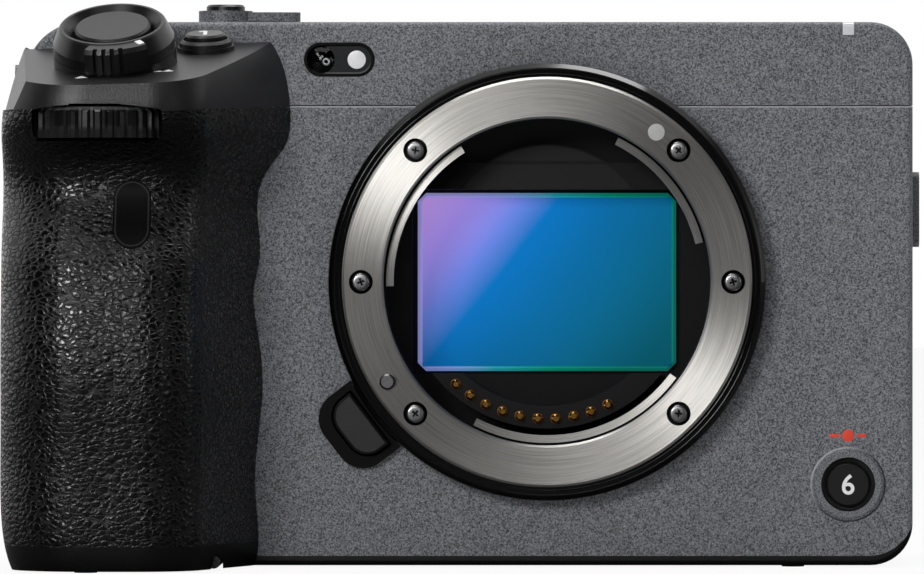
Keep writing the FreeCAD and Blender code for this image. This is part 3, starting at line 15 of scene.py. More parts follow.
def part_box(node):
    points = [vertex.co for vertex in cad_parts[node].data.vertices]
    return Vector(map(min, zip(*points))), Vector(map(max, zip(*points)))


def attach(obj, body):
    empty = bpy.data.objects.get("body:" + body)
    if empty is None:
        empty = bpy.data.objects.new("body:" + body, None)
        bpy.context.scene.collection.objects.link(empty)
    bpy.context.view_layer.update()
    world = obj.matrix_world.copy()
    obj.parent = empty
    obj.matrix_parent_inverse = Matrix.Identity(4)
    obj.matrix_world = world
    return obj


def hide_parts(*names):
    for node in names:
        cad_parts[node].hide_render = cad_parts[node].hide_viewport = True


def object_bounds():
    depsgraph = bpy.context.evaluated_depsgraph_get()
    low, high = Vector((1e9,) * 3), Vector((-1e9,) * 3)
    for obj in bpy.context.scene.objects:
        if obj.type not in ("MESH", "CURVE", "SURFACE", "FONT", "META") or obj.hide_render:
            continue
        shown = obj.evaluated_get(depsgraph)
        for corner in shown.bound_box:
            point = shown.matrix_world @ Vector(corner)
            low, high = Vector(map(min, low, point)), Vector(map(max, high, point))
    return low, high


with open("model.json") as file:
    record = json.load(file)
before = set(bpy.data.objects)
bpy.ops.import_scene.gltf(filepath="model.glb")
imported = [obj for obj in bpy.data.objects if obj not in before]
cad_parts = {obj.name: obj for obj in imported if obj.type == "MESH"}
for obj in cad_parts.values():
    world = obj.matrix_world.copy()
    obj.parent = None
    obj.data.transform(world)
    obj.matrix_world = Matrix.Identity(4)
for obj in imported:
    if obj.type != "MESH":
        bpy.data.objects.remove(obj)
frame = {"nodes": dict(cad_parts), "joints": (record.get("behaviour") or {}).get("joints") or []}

cad_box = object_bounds()
nodes = frame["nodes"]
MM = 0.001

# %% [markdown]
# ## The lens axis
# Almost everything on the front is placed from the lens axis, so it is measured once, on the mount
# ring. The seat is the polished front face that a lens would rest on.


# %% Measure the lens axis
def middle(name):
    """Middle of a CAD piece's box, as x, y and z."""
    return [(low + high) / 2 for low, high in zip(*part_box(name))]


AXIS_X, _, AXIS_Z = middle("mount_ring")
SEAT_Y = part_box("mount_ring")[0].y
CASE_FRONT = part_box("signal_window")[0].y
print(f"lens axis at x {AXIS_X:.4f}, z {AXIS_Z:.4f}")

# %% [markdown]
# ## Small helpers for node trees
# A finish is a material with one Principled shader. These helpers turn a screen colour from 0 to 255
# into the linear colour that Blender uses, and add a node whose inputs are set or linked in one line.
# An output knows the tree that it belongs to, so only the first nodes of a chain have to be told.


# %% Colours and nodes
def ink(red, green, blue):
    """Linear colour, with its alpha, of a screen colour."""
    def linear(value):
        share = value / 255
        return share / 12.92 if share <= 0.04045 else ((share + 0.055) / 1.055) ** 2.4
    return (linear(red), linear(green), linear(blue), 1.0)


def feed(socket, value):
    """Sets an input to a plain value, or links it to an output."""
    if isinstance(value, bpy.types.NodeSocket):
        socket.id_data.links.new(value, socket)
    else:
        socket.default_value = value


def add(tree, kind, settings=None, **values):
    """A new node, with its settings and what its named inputs get."""
    node = tree.nodes.new("ShaderNode" + kind)
    for name, value in (settings or {}).items():
        setattr(node, name, value)
    for name, value in values.items():
        feed(node.inputs[name.replace("_", " ")], value)
    return node


def maths(operation, first, second=0.0):
    """A Math node on two numbers or outputs, in the tree of the output. It gives back its own output."""
    tree = next(value.id_data for value in (first, second) if isinstance(value, bpy.types.NodeSocket))
    node = add(tree, "Math", {"operation": operation})
    feed(node.inputs[0], first)
    feed(node.inputs[1], second)
    return node.outputs[0]


def plus(first, second):
    return maths("ADD", first, second)


def minus(first, second):
    return maths("SUBTRACT", first, second)


def times(first, second):
    return maths("MULTIPLY", first, second)


def vectors(operation, first, second):
    """A Vector Math node. Scaling takes one number, and the other operations take a vector."""
    node = add(first.id_data, "VectorMath", {"operation": operation})
    feed(node.inputs[0], first)
    feed(node.inputs["Scale" if operation == "SCALE" else 1], second)
    return node.outputs[0]


def blend(share, first, second):
    """A mix of two colours by a share."""
    node = add(share.id_data, "Mix", {"data_type": "RGBA"})
    for number, value in ((0, share), (6, first), (7, second)):
        feed(node.inputs[number], value)
    return node.outputs[2]


def noise(place, scale, detail, **values):
    """Outputs of a noise over a place."""
    return add(place.id_data, "TexNoise", Vector=place, Scale=scale, Detail=detail, **values).outputs


def ramp(value, *stops):
    """A colour ramp over a value, from stops of a position and a screen colour."""
    node = add(value.id_data, "ValToRGB", Fac=value)
    elements = node.color_ramp.elements
    while len(elements) < len(stops):
        elements.new(0.5)
    for element, (position, *colour) in zip(elements, stops):
        element.position = position
        element.color = ink(*colour)
    return node.outputs[0]


# %% [markdown]
# ## Helpers that measure on the surface
# Wear and printed lines follow the shape of a piece, so they are drawn by distance: how far a point is
# from a height, from an axis or from an edge. A fade then turns the distance into a share.


# %% Places and distances
def object_place(tree):
    """The Object coordinates, in metres."""
    return add(tree, "TexCoord").outputs["Object"]


def split(tree, vector=None):
    """X, Y and Z of a vector, or of the place on the object."""
    return add(tree, "SeparateXYZ", Vector=vector or object_place(tree)).outputs


def gap(value, centre):
    """How far a value is from a centre, either way."""
    return maths("ABSOLUTE", minus(value, centre))


def hypotenuse(*sides):
    """Length of a slanted line from its run and its rise."""
    return maths("SQRT", plus(*(times(side, side) for side in sides)))


def fade(value, start, end, first=0.0, last=1.0, kind="SMOOTHSTEP"):
    """Goes from the first share to the last while the value goes from start to end."""
    return add(value.id_data, "MapRange", {"interpolation_type": kind}, Value=value, From_Min=start,
               From_Max=end, To_Min=first, To_Max=last).outputs[0]


def inset_of(tree, name):
    """How far inside the rounded edge of a bar-shaped CAD piece a point lies, seen from the front."""
    low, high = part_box(name)
    half = [(b - a) / 2 for a, b in zip(low, high)]
    radius = min(half[0], half[2])
    place = split(tree)
    beyond = [maths("MAXIMUM", minus(gap(place[i], middle(name)[i]), half[i] - radius)) for i in (0, 2)]
    return minus(radius, hypotenuse(*beyond))


# %% [markdown]
# ## Helpers that make finishes and groups
# A finish starts as a new material with the constants of its shader. What changes over the surface is
# linked afterwards. An effect that several finishes share is a node group, built once.


# %% Finishes and groups
def new_finish(name, colour, roughness, metallic=0.0, **shader_values):
    """A material with its shader set. It gives back the material, its tree and the shader."""
    material = bpy.data.materials.new(name)
    material.use_nodes = True
    shader = material.node_tree.nodes["Principled BSDF"]
    shader_values.update(Base_Color=colour, Roughness=roughness, Metallic=metallic)
    for key, value in shader_values.items():
        shader.inputs[key.replace("_", " ")].default_value = value
    return material, material.node_tree, shader


def surface(shader, colour=None, roughness=None, height=None, depth=0.0):
    """Links what changes over the surface. The height tilts it, and has a depth in millimetres."""
    slope = height and add(shader.id_data, "Bump", Distance=depth * MM, Height=height).outputs[0]
    for name, value in (("Base Color", colour), ("Roughness", roughness), ("Normal", slope)):
        if value:
            feed(shader.inputs[name], value)


def new_group(name, outputs, **inputs):
    """An empty node group with named inputs, as numbers, places or colours, and named outputs."""
    group = bpy.data.node_groups.new(name, "ShaderNodeTree")
    for title, value in inputs.items():
        kind = "Float" if isinstance(value, float) else {3: "Vector", 4: "Color"}[len(value)]
        group.interface.new_socket(title.replace("_", " "), in_out="INPUT",
                                   socket_type="NodeSocket" + kind).default_value = value
    for title in outputs:
        kind = "Color" if title == "Color" else "Float"
        group.interface.new_socket(title, in_out="OUTPUT", socket_type="NodeSocket" + kind)
    return group, group.nodes.new("NodeGroupInput").outputs, group.nodes.new("NodeGroupOutput").inputs


def use_group(tree, group, **values):
    """A node group placed in a material, with this finish's own values. It gives back its outputs."""
    return add(tree, "Group", {"node_tree": group}, **values).outputs


# %% [markdown]
# ## Shared effect: mottle
# Cast, moulded and painted surfaces are never one flat colour. This group mixes a dark and a light
# tint by a fine noise and a coarse one, and gives a height and a roughness that follow the same grain.
# It reads Object coordinates, in metres, so a scale of 1000 makes grains of about a millimetre.

# %% Mottle group
mottle, given, result = new_group(
    "mottle", ["Color", "Height", "Roughness"], Dark=(0.1, 0.1, 0.1, 1), Light=(0.2, 0.2, 0.2, 1),
    Scale=1000.0, Contrast=1.0, Drift=0.15, Roughness=0.5, Spread=0.1)
tree = mottle
place = object_place(tree)
grain = noise(place, given["Scale"], 3.0, Roughness=0.65)[0]
cloud = noise(place, 38.0, 2.0)[0]
fine = times(minus(grain, 0.5), given["Contrast"])
cloud = minus(cloud, 0.5)
coarse = times(cloud, given["Drift"])
share = add(tree, "Clamp", Value=plus(plus(fine, coarse), 0.5)).outputs[0]
feed(result["Color"], blend(share, given["Dark"], given["Light"]))
feed(result["Height"], grain)
feed(result["Roughness"], plus(times(cloud, given["Spread"]), given["Roughness"]))
print("mottle group:", len(mottle.nodes), "nodes")


# %% [markdown]
# ## Finishes made from mottle
# Painted metal, moulded plastic, rubber and cast metal differ in tint, grain, gloss and depth of
# texture, so one function makes them all: from a dark and a light screen colour, the grain's scale and
# contrast, the roughness and the depth in millimetres. The clear dome over the small lamp is made so
# too, with a faint waviness.


# %% Textured finishes
def grained(name, dark, light, scale, contrast, roughness, metallic=0.0, spread=0.08, drift=0.2,
            **shader_values):
    """A finish with the mottle beside its shader, not yet linked to it."""
    dark, light = ink(*dark), ink(*light)
    material, tree, shader = new_finish(name, light, roughness, metallic, **shader_values)
    return material, tree, shader, use_group(tree, mottle, Dark=dark, Light=light, Scale=scale,
                                             Contrast=contrast, Drift=drift, Roughness=roughness,
                                             Spread=spread)


def textured(name, dark, light, scale, contrast, roughness, depth, **more):
    """A finish with a fine grain in its colour, gloss and surface."""
    material, tree, shader, effect = grained(name, dark, light, scale, contrast, roughness, **more)
    surface(shader, effect["Color"], effect["Roughness"], effect["Height"], depth)
    return material


cap_plastic = textured("cap_plastic", (10, 10, 12), (30, 30, 33), 4200, 1.6, 0.36, 0.04)
base_plastic = textured("base_plastic", (4, 4, 5), (12, 12, 13), 4200, 1.6, 0.45, 0.04,
                        Specular_IOR_Level=0.3)
button_plastic = textured("button_plastic", (8, 8, 9), (22, 22, 24), 4000, 1.2, 0.32, 0.02)
gloss_black = textured("gloss_black", (4, 4, 5), (9, 9, 10), 1500, 1.0, 0.14, 0.002, spread=0.06,
                       Coat_Weight=0.08, Coat_Roughness=0.06, Specular_IOR_Level=0.35)
well_black = textured("well_black", (1, 1, 1), (5, 5, 6), 4200, 1.2, 0.5, 0.04, Specular_IOR_Level=0.12)
throat_black = textured("throat_black", (14, 14, 15), (26, 26, 27), 5200, 1.2, 0.8, 0.03,
                        Specular_IOR_Level=0.25)
rubber_black = textured("rubber_black", (12, 12, 13), (26, 26, 27), 3000, 1.4, 0.62, 0.05)
battery_plastic = textured("battery_plastic", (36, 36, 38), (58, 58, 60), 2600, 1.3, 0.5, 0.04)
satin_steel = textured("satin_steel", (84, 84, 86), (138, 138, 140), 2600, 1.0, 0.42, 0.01, metallic=1.0)
bright_chrome = textured("bright_chrome", (206, 206, 208), (240, 240, 240), 1800, 0.8, 0.2, 0.004,
                         metallic=1.0)
cast_aluminium = textured("cast_aluminium", (120, 122, 124), (176, 178, 180), 2200, 1.6, 0.42, 0.04,
                          metallic=1.0)
contact_gold = textured("contact_gold", (176, 124, 48), (232, 186, 104), 2600, 1.2, 0.22, 0.01, metallic=1.0)
copper_rim = textured("copper_rim", (64, 34, 8), (112, 66, 22), 2600, 1.2, 0.4, 0.01, metallic=0.6)
board_green = textured("board_green", (12, 60, 34), (24, 92, 54), 900, 1.8, 0.4, 0.02)
white_mark, grey_mark, red_mark = (
    textured(name, dark, light, 3000, 1.0, 0.5, 0.005)
    for name, dark, light in (("white_mark", (222, 222, 222), (246, 246, 246)),
                              ("grey_mark", (150, 150, 149), (186, 186, 184)),
                              ("red_mark", (206, 42, 22), (236, 74, 46))))
white_diffuser = textured("white_diffuser", (220, 220, 222), (240, 240, 242), 1500, 0.8, 0.3, 0.003,
                          Coat_Weight=0.5)
lamp_clear = textured("lamp_clear", (196, 196, 200), (226, 226, 230), 1200, 0.8, 0.2, 0.003, Coat_Weight=0.6)
clear_lens = textured("clear_lens", (226, 230, 236), (250, 251, 253), 900, 0.8, 0.04, 0.004, spread=0.04,
                      Transmission_Weight=1.0, IOR=1.46)
print(len(bpy.data.materials), "finishes so far")

# %% [markdown]
# ## The case's paint
# The case is magnesium with a dark grey wrinkle paint, whose grains of a third of a millimetre run from
# nearly black to pale grey. Two places differ. A thin pale line is painted just under the seam along the
# front cover's upper edge, as a painted highlight where a bevel would catch the light. The rim of the collar
# round the record button is painted light on its upper left and dark at its lower right, as the painted
# highlight and painted shadow of a raised rim lit from above.

# %% Paint finish
RECORD_X, _, RECORD_Z = middle("front_record_button")
SEAM_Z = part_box("front_cover")[1].z
COLLAR_RADIUS = 5.22 * MM

case_paint, tree, shader, effect = grained("case_paint", (26, 27, 30), (142, 144, 150), 4600, 3.2, 0.5,
                                           metallic=0.1, spread=0.1, drift=0.12)
place = split(tree)
# Painted highlight: a thin pale line just under the seam, where a bevel would catch the light.
painted_highlight = fade(gap(place["Z"], SEAM_Z - 0.1 * MM), 0.09 * MM, 0.13 * MM, 0.8, 0.0, "LINEAR")
across = minus(place["X"], RECORD_X)
rise = minus(place["Z"], RECORD_Z)
# Painted highlight and painted shadow on the collar's rim: light at the upper left, dark at the lower right.
painted_rim_share = fade(gap(hypotenuse(across, rise), COLLAR_RADIUS), 0.03 * MM, 0.2 * MM, 0.75, 0.0)
to_upper_left = maths("DIVIDE", minus(rise, across), 14.0 * MM)
painted_rim_light_and_shadow = ramp(plus(to_upper_left, 0.5), (0.0, 12, 12, 14), (0.5, 40, 41, 44),
                  (0.75, 150, 152, 156), (1.0, 190, 192, 196))
seam_highlighted = blend(painted_highlight, effect["Color"], ink(186, 188, 192))
surface(shader, blend(painted_rim_share, seam_highlighted, painted_rim_light_and_shadow), effect["Roughness"], effect["Height"], 0.06)
print("paint on", len(tree.nodes), "nodes")

# %% [markdown]
# ## The leatherette of the grip
# The skin is a black sheet with a glossy, wrinkled grain of about a millimetre. The wrinkles are the
# edges of warped Voronoi cells, sunk between puffed cells that are wider than tall, with broad folds
# under them and fine pores on top. The creases are duller than the crowns, which catch the light.

# %% Leatherette group
leather_grain, given, result = new_group("leather_grain", ["Height", "Crease"], Scale=1050.0, Warp=0.0009,
                                         Pores=0.12)
tree = leather_grain
place = object_place(tree)
warp = noise(place, 900.0, 3.0)["Color"]
moved = vectors("ADD", place, vectors("SCALE", warp, given["Warp"]))
pulled = vectors("MULTIPLY", moved, (0.8, 0.8, 1.4))
cells, puffs = (add(tree, "TexVoronoi", {"feature": feature}, Vector=pulled, Scale=given["Scale"])
                for feature in ("DISTANCE_TO_EDGE", "SMOOTH_F1"))
pores = noise(place, 5200.0, 2.0)[0]
folds = noise(pulled, 480.0, 2.0)[0]
edge = fade(cells.outputs["Distance"], 0.0, 0.2)
texture = plus(times(pores, given["Pores"]), times(folds, 1.6))
puffed = plus(minus(1.0, puffs.outputs["Distance"]), texture)
feed(result["Height"], plus(times(edge, 0.65), puffed))
feed(result["Crease"], minus(1.0, edge))

# %% Leatherette finish
leatherette, tree, shader = new_finish("leatherette", ink(3, 3, 4), 0.2, Specular_IOR_Level=0.5)
effect = use_group(tree, leather_grain)
# The creases are painted darker than the crowns, as painted shade in them.
surface(shader, blend(effect["Crease"], ink(4, 4, 5), ink(1, 1, 1)),
        plus(times(effect["Crease"], 0.3), 0.17), effect["Height"], 0.08)
print("leatherette:", len(leather_grain.nodes), "nodes in its grain")

# %% [markdown]
# ## Brushed steel of the mount ring
# The ring is turned, so its fine scratches run in circles round the lens axis. The pattern is a noise that
# changes fast with the radius and slowly with the angle. The shader's own anisotropy, round the same axis,
# makes the fan of light that such a face shows towards a lamp and opposite to it. The screws' sunk seats and
# the slit between the face and the bayonet tabs are painted dark, as painted shade in these recesses.

# %% Turned metal group
turned_marks, given, result = new_group("turned_marks", ["Streak", "Radius"], Height_of_axis=AXIS_Z,
                                        Lines=7000.0)
tree = turned_marks
place = split(tree)
rise = minus(place["Z"], given["Height of axis"])
angle = maths("ARCTAN2", rise, place["X"])
radius = hypotenuse(rise, place["X"])
lanes = add(tree, "CombineXYZ", X=times(radius, given["Lines"]), Y=times(angle, 1.6)).outputs[0]
streak = noise(lanes, 1.0, 4.0, Roughness=0.7)[0]
feed(result["Streak"], streak)
feed(result["Radius"], radius)

# %% Brushed steel finish
SCREW_CIRCLE = 26.3
SLIT_CIRCLE = 22.93

brushed_steel, tree, shader = new_finish("brushed_steel", ink(180, 178, 174), 0.36, 1.0, Anisotropic=0.9,
                                         Anisotropic_Rotation=0.25)
effect = use_group(tree, turned_marks)
tint = ramp(effect["Streak"], (0.3, 170, 168, 164), (0.7, 228, 225, 220))
sunk = fade(split(tree)["Y"], SEAT_Y + 0.1 * MM, SEAT_Y + 0.2 * MM, kind="LINEAR")
# Painted shade in the screws' sunk seats and in the slit by the tabs.
shaded_recesses = [maths("LESS_THAN", gap(effect["Radius"], circle * MM), reach * MM)
         for circle, reach in ((SLIT_CIRCLE, 0.17), (SCREW_CIRCLE, 2.1))]
recess_shade = times(sunk, maths("MAXIMUM", *shaded_recesses))
surface(shader, blend(recess_shade, tint, ink(22, 22, 22)),
        plus(times(effect["Streak"], 0.16), 0.32), effect["Streak"], 0.006)
grooves = add(tree, "Tangent", {"direction_type": "RADIAL", "axis": "Y"})
feed(shader.inputs["Tangent"], grooves.outputs[0])
print("brushed steel with", len(turned_marks.nodes), "nodes of turning marks")

# %% [markdown]
# ## Shared effect: distance from the edge of a plate
# Two plates change colour near their edges: the sensor has a bevelled rim, and the screen a black
# border. This group gives the place across and up a plate, from -1 to 1, and the distance to its
# nearest edge. Each material gives the plate's middle and half size, which are measured on the piece.

# %% Plate group
plate_place, given, result = new_group("plate_place", ["Across", "Upward", "Gap"], Middle=(0, 0, 0),
                                       Half_width=0.01, Half_height=0.01)
tree = plate_place
place = split(tree, vectors("SUBTRACT", object_place(tree), given["Middle"]))
gaps = []
for side, half, title in (("X", "Half width", "Across"), ("Z", "Half height", "Upward")):
    feed(result[title], maths("DIVIDE", place[side], given[half]))
    gaps.append(minus(given[half], maths("ABSOLUTE", place[side])))
feed(result["Gap"], maths("MINIMUM", *gaps))


def on_plate(tree, name):
    """The plate group set to a CAD plate's own middle and size."""
    low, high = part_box(name)
    return use_group(tree, plate_place, Middle=middle(name), Half_width=(high.x - low.x) / 2,
                     Half_height=(high.z - low.z) / 2)


print("plate group:", len(plate_place.nodes), "nodes")

# %% [markdown]
# ## The sensor's colours
# The sensor is a fine grid under a coated glass, which splits light: violet towards the upper left,
# then blue, then teal to the right. The colours lie along a slanted line, with a bright bevelled rim.
# The violet at the upper left is painted lighter, to make up for the shade that the ring casts there, and a
# part of the same colours is given to the shader's emission, so that the sensor glows: both are painted
# light.

# %% Sensor finish
RIM = 0.74 * MM

sensor_finish, tree, shader = new_finish("sensor_surface", ink(0, 100, 160), 0.3, Coat_Weight=0.05,
                                         Coat_Roughness=0.1, Specular_IOR_Level=0.1, Emission_Strength=0.4)
plate = on_plate(tree, "sensor_glass")
across, upward = plate["Across"], plate["Upward"]
slant = plus(times(across, 0.36), times(upward, -0.2))
warp = noise(object_place(tree), 40.0, 1.0)[0]
wavy = times(minus(warp, 0.5), 0.05)
# Painted light: the violet at the upper left end is made lighter against the ring's shade there.
field = ramp(plus(plus(slant, wavy), 0.55), (0.04, 206, 164, 255),
             (0.16, 170, 146, 246), (0.3, 104, 130, 222), (0.4, 0, 112, 188), (0.58, 0, 104, 160),
             (0.8, 0, 100, 136), (1.0, 0, 90, 110))
rim_slant = minus(times(across, 0.5), times(upward, 0.12))
rim_colours = ramp(plus(rim_slant, 0.5), (0.0, 176, 168, 246), (0.25, 130, 160, 228),
                   (0.42, 36, 164, 176), (0.62, 8, 146, 120), (0.9, 8, 124, 108), (1.0, 14, 122, 110))
on_rim = fade(plate["Gap"], RIM * 0.8, RIM, 1.0, 0.0)
glowing_sensor_colours = blend(on_rim, field, rim_colours)
# Painted light: the same colours go to the emission, so the sensor glows in the throat's shade.
for socket in ("Base Color", "Emission Color"):
    feed(shader.inputs[socket], glowing_sensor_colours)
print("sensor colours on", len(tree.nodes), "nodes")

# %% [markdown]
# ## The screen
# A switched-off screen is a dark grey panel with a black printed border under one glossy sheet, with
# faint smears of fingers in its gloss.

# %% Screen finish
screen_glass, tree, shader, effect = grained("screen_glass", (14, 15, 18), (22, 23, 27), 60, 1.2, 0.1,
                                             spread=0.14, drift=0.3, Coat_Weight=1.0, Coat_Roughness=0.03)
inside = fade(on_plate(tree, "monitor_glass")["Gap"], 2.6 * MM, 2.8 * MM, kind="LINEAR")
surface(shader, blend(inside, ink(4, 4, 5), effect["Color"]), effect["Roughness"])
print("screen on", len(tree.nodes), "nodes")

# %% [markdown]
# ## The baffle above the sensor
# The dark plate above the sensor is stamped. A sharp black line of painted shade runs along the step of its
# straight band, and another round its bulge. Both lines are drawn by height and by distance from the bulge's
# centre, so they keep their width. The centre follows from the width and rise of the bulge.

# %% Baffle finish
BAFFLE_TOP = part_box("sensor_baffle")[1].z
BULGE_RISE = 2.6 * MM
BULGE_HALF = 8.5 * MM
BULGE_RADIUS = (BULGE_HALF ** 2 + BULGE_RISE ** 2) / (2 * BULGE_RISE)

baffle_black, tree, shader, effect = grained("baffle_black", (15, 15, 16), (24, 24, 26), 4200, 1.2, 0.6,
                                             spread=0.1, drift=0.3, Specular_IOR_Level=0.3)
place = split(tree)
drop = minus(place["Z"], BAFFLE_TOP - BULGE_RADIUS)
arc_gap = minus(BULGE_RADIUS, hypotenuse(drop, place["X"]))
band_gap = gap(place["Z"], BAFFLE_TOP - BULGE_RISE)
# Painted shade: black lines along the band's step and round the bulge.
line = fade(maths("MINIMUM", arc_gap, band_gap), 0.2 * MM, 0.3 * MM)
surface(shader, blend(line, ink(1, 1, 1), effect["Color"]), None, effect["Height"], 0.02)
print("baffle lines round a radius of", round(BULGE_RADIUS / MM, 2), "mm")

# %% [markdown]
# ## Painted highlights on the grip's cap, plug and dial
# The cap's lower edge, where it meets the leatherette, gets a painted highlight: a pale line as if its edge
# caught the light. The oblong rubber plug has a painted highlight, a pale line a third of a millimetre inside
# its rim. The upper edge of the dial's ribs is painted bright as painted glints, and the dial is rougher
# below, where dirt collects. All three are drawn by height or by the distance from an edge, so that they
# follow the shape of the piece.

# %% Cap, plug and dial finishes
cap_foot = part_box("grip_cap")[0].z + 0.1 * MM
cap_finish, tree, shader, effect = grained("cap_finish", (10, 10, 12), (30, 30, 33), 4200, 1.6, 0.36)
# Painted highlight: a pale line along the cap's lower edge.
painted_highlight = fade(gap(split(tree)["Z"], cap_foot), 0.06 * MM, 0.2 * MM, 0.8, 0.0)
surface(shader, blend(painted_highlight, effect["Color"], ink(118, 118, 122)), effect["Roughness"],
        effect["Height"], 0.04)

plug_rubber, tree, shader, effect = grained("plug_rubber", (3, 3, 4), (8, 8, 9), 4000, 1.2, 0.45,
                                            Specular_IOR_Level=0.08)
# Painted highlight: a pale line inside the plug's rim.
painted_highlight = fade(gap(inset_of(tree, "grip_plug"), 0.32 * MM), 0.02 * MM, 0.16 * MM, 0.8, 0.0)
surface(shader, blend(painted_highlight, effect["Color"], ink(48, 48, 50)), effect["Roughness"], effect["Height"], 0.02)

dial_low, dial_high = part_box("front_dial")
dial_finish, tree, shader, effect = grained("dial_finish", (6, 6, 7), (18, 18, 20), 4000, 1.2, 0.0,
                                            Specular_IOR_Level=0.45)
height = split(tree)["Z"]
# Painted glints along the top of the dial's ribs.
painted_highlight = fade(height, dial_high.z - 0.6 * MM, dial_high.z - 0.3 * MM, 0.0, 0.7)
dulled = fade(height, dial_low.z + 0.8 * MM, dial_low.z + 2.0 * MM, 0.9, 0.3)
surface(shader, blend(painted_highlight, effect["Color"], ink(96, 96, 98)),
        plus(dulled, effect["Roughness"]), effect["Height"], 0.02)
print("cap's edge at", round(cap_foot / MM, 1), "mm")

# %% [markdown]
# ## The bezel of the signal window
# The bezel is a dark grey moulding. Its outer half millimetre is painted black, as painted shade on the wall
# of its recess. Along the lower half a pale line is painted between the two, as a painted highlight where the
# edge catches the light. Rim and line are drawn by the distance inside the outline, so that they keep their
# width round both ends.

# %% Window bezel finish
window_black, tree, shader, effect = grained("window_black", (34, 35, 37), (41, 42, 44), 1500, 1.0, 0.2,
                                             spread=0.06, Specular_IOR_Level=0.35)
inset = inset_of(tree, "signal_window")
rise = minus(split(tree)["Z"], middle("signal_window")[2])
# Painted shade: a black rim round the outline. Painted highlight: a pale line on its lower half.
painted_rim_shade = blend(fade(inset, 0.42 * MM, 0.56 * MM), ink(3, 3, 4), effect["Color"])
line = fade(gap(inset, 0.5 * MM), 0.03 * MM, 0.14 * MM, 0.75, 0.0)
low_side = fade(rise, -1.6 * MM, -0.2 * MM, 1.0, 0.0)
line_share = times(line, low_side)
surface(shader, blend(line_share, painted_rim_shade, ink(120, 120, 122)), effect["Roughness"], effect["Height"], 0.002)
print("bezel on", len(tree.nodes), "nodes")

# %% [markdown]
# ## Finishes on the CAD pieces
# Each CAD piece gets the finish of the real one by its name. The list is long because every piece has
# a finish, hidden ones too: doors open, the battery comes out and the monitor swings away.

# %% Give every CAD piece its finish
pieces_of = [
    (case_paint, "front_cover top_cover rear_cover power_lever strap_bars card_door"),
    (cap_plastic, "shutter_button release_button monitor_arm monitor_housing battery_door"),
    (button_plastic, "zoom_lever custom_button top_record_button front_record_button control_wheel "
                     "centre_button joystick_gimbal rear_dial menu_button play_button battery_latch "
                     "fan_housing fan_rotor"),
    (throat_black, "throat_housing contact_block sensor_carriage sensor_frame curtain_blade_front "
                   "curtain_blade_rear"),
    (rubber_black, "grip_moulding joystick thumb_rest port_door"),
    (satin_steel, "lock_pin accessory_shoe thread_inserts card_slot_cage port_sockets"),
    (bright_chrome, "cover_screws mount_screws"), (base_plastic, "base_plate"), (leatherette, "grip_skin"),
    (plug_rubber, "grip_plug"), (cap_finish, "grip_cap"), (dial_finish, "front_dial"),
    (brushed_steel, "mount_ring"), (gloss_black, "mount_trim_ring"), (contact_gold, "contact_pins"),
    (baffle_black, "sensor_baffle"), (well_black, "release_well"), (sensor_finish, "sensor_glass"),
    (window_black, "signal_window"), (clear_lens, "focus_lamp_lens"), (white_diffuser, "light_sensor"),
    (lamp_clear, "tally_lamp"), (screen_glass, "monitor_glass"), (battery_plastic, "battery"),
    (board_green, "main_board"), (cast_aluminium, "heat_sink"),
]
finish_of = {name: finish for finish, names in pieces_of for name in names.split()}
for name, node in nodes.items():
    node.data.materials.clear()
    node.data.materials.append(finish_of[name])
print(len(finish_of), "CAD pieces finished")

# %% [markdown]
# ## Helpers for modelling small pieces
# Every fitting is modelled at the origin with its top towards Z, as on a bench, and then set in its
# place. These helpers start a piece from a primitive, pick faces or edges by where they are, and set
# the finished piece on the camera for good.

# %% Bench helpers
FRONT = ((0, -1, 0), (0, 0, 1))
BACK = ((0, 1, 0), (0, 0, 1))
TOP = ((0, 0, 1), (0, 1, 0))
UNDER = ((0, 0, -1), (0, 1, 0))


def fresh(primitive, name, **values):
    """Adds a primitive while nothing else is selected."""
    bpy.ops.object.select_all(action="DESELECT")
    primitive(**values)
    piece = bpy.context.object
    piece.name = name
    return piece


def pick(piece, chosen, kind="FACE"):
    """Edit mode with the faces whose middle and normal, or edges whose two ends, pass a test."""
    bpy.context.view_layer.objects.active = piece
    bpy.ops.object.mode_set(mode="EDIT")
    bpy.ops.mesh.select_mode(type=kind)
    bpy.ops.mesh.select_all(action="DESELECT")
    mesh = bmesh.from_edit_mesh(piece.data)
    for item in (mesh.faces if kind == "FACE" else mesh.edges):
        if kind == "FACE":
            item.select_set(chosen(item.calc_center_median(), item.normal))
        else:
            item.select_set(chosen(item.verts[0].co, item.verts[1].co))
    bmesh.update_edit_mesh(piece.data)


def metres(*lengths):
    """Lengths that are given in millimetres."""
    return [length * MM for length in lengths]


def leave_edit():
    bpy.ops.object.mode_set(mode="OBJECT")


def only(piece):
    bpy.ops.object.select_all(action="DESELECT")
    piece.select_set(True)
    bpy.context.view_layer.objects.active = piece


def fix_in(piece):
    """Writes the piece's place, turn and scale into its mesh."""
    only(piece)
    bpy.ops.object.transform_apply(location=True, rotation=True, scale=True)


def apply_modifier(piece, modifier):
    only(piece)
    bpy.ops.object.modifier_apply(modifier=modifier.name)


def merge_doubles(piece):
    """Joins points in the same place. The whole piece stays selected, in edit mode."""
    bpy.context.view_layer.objects.active = piece
    bpy.ops.object.mode_set(mode="EDIT")
    bpy.ops.mesh.select_all(action="SELECT")
    bpy.ops.mesh.remove_doubles(threshold=1e-7)


def duplicate(piece, name):
    """A copy with its own mesh."""
    other = piece.copy()
    other.data = piece.data.copy()
    other.name = name
    bpy.context.scene.collection.objects.link(other)
    return other


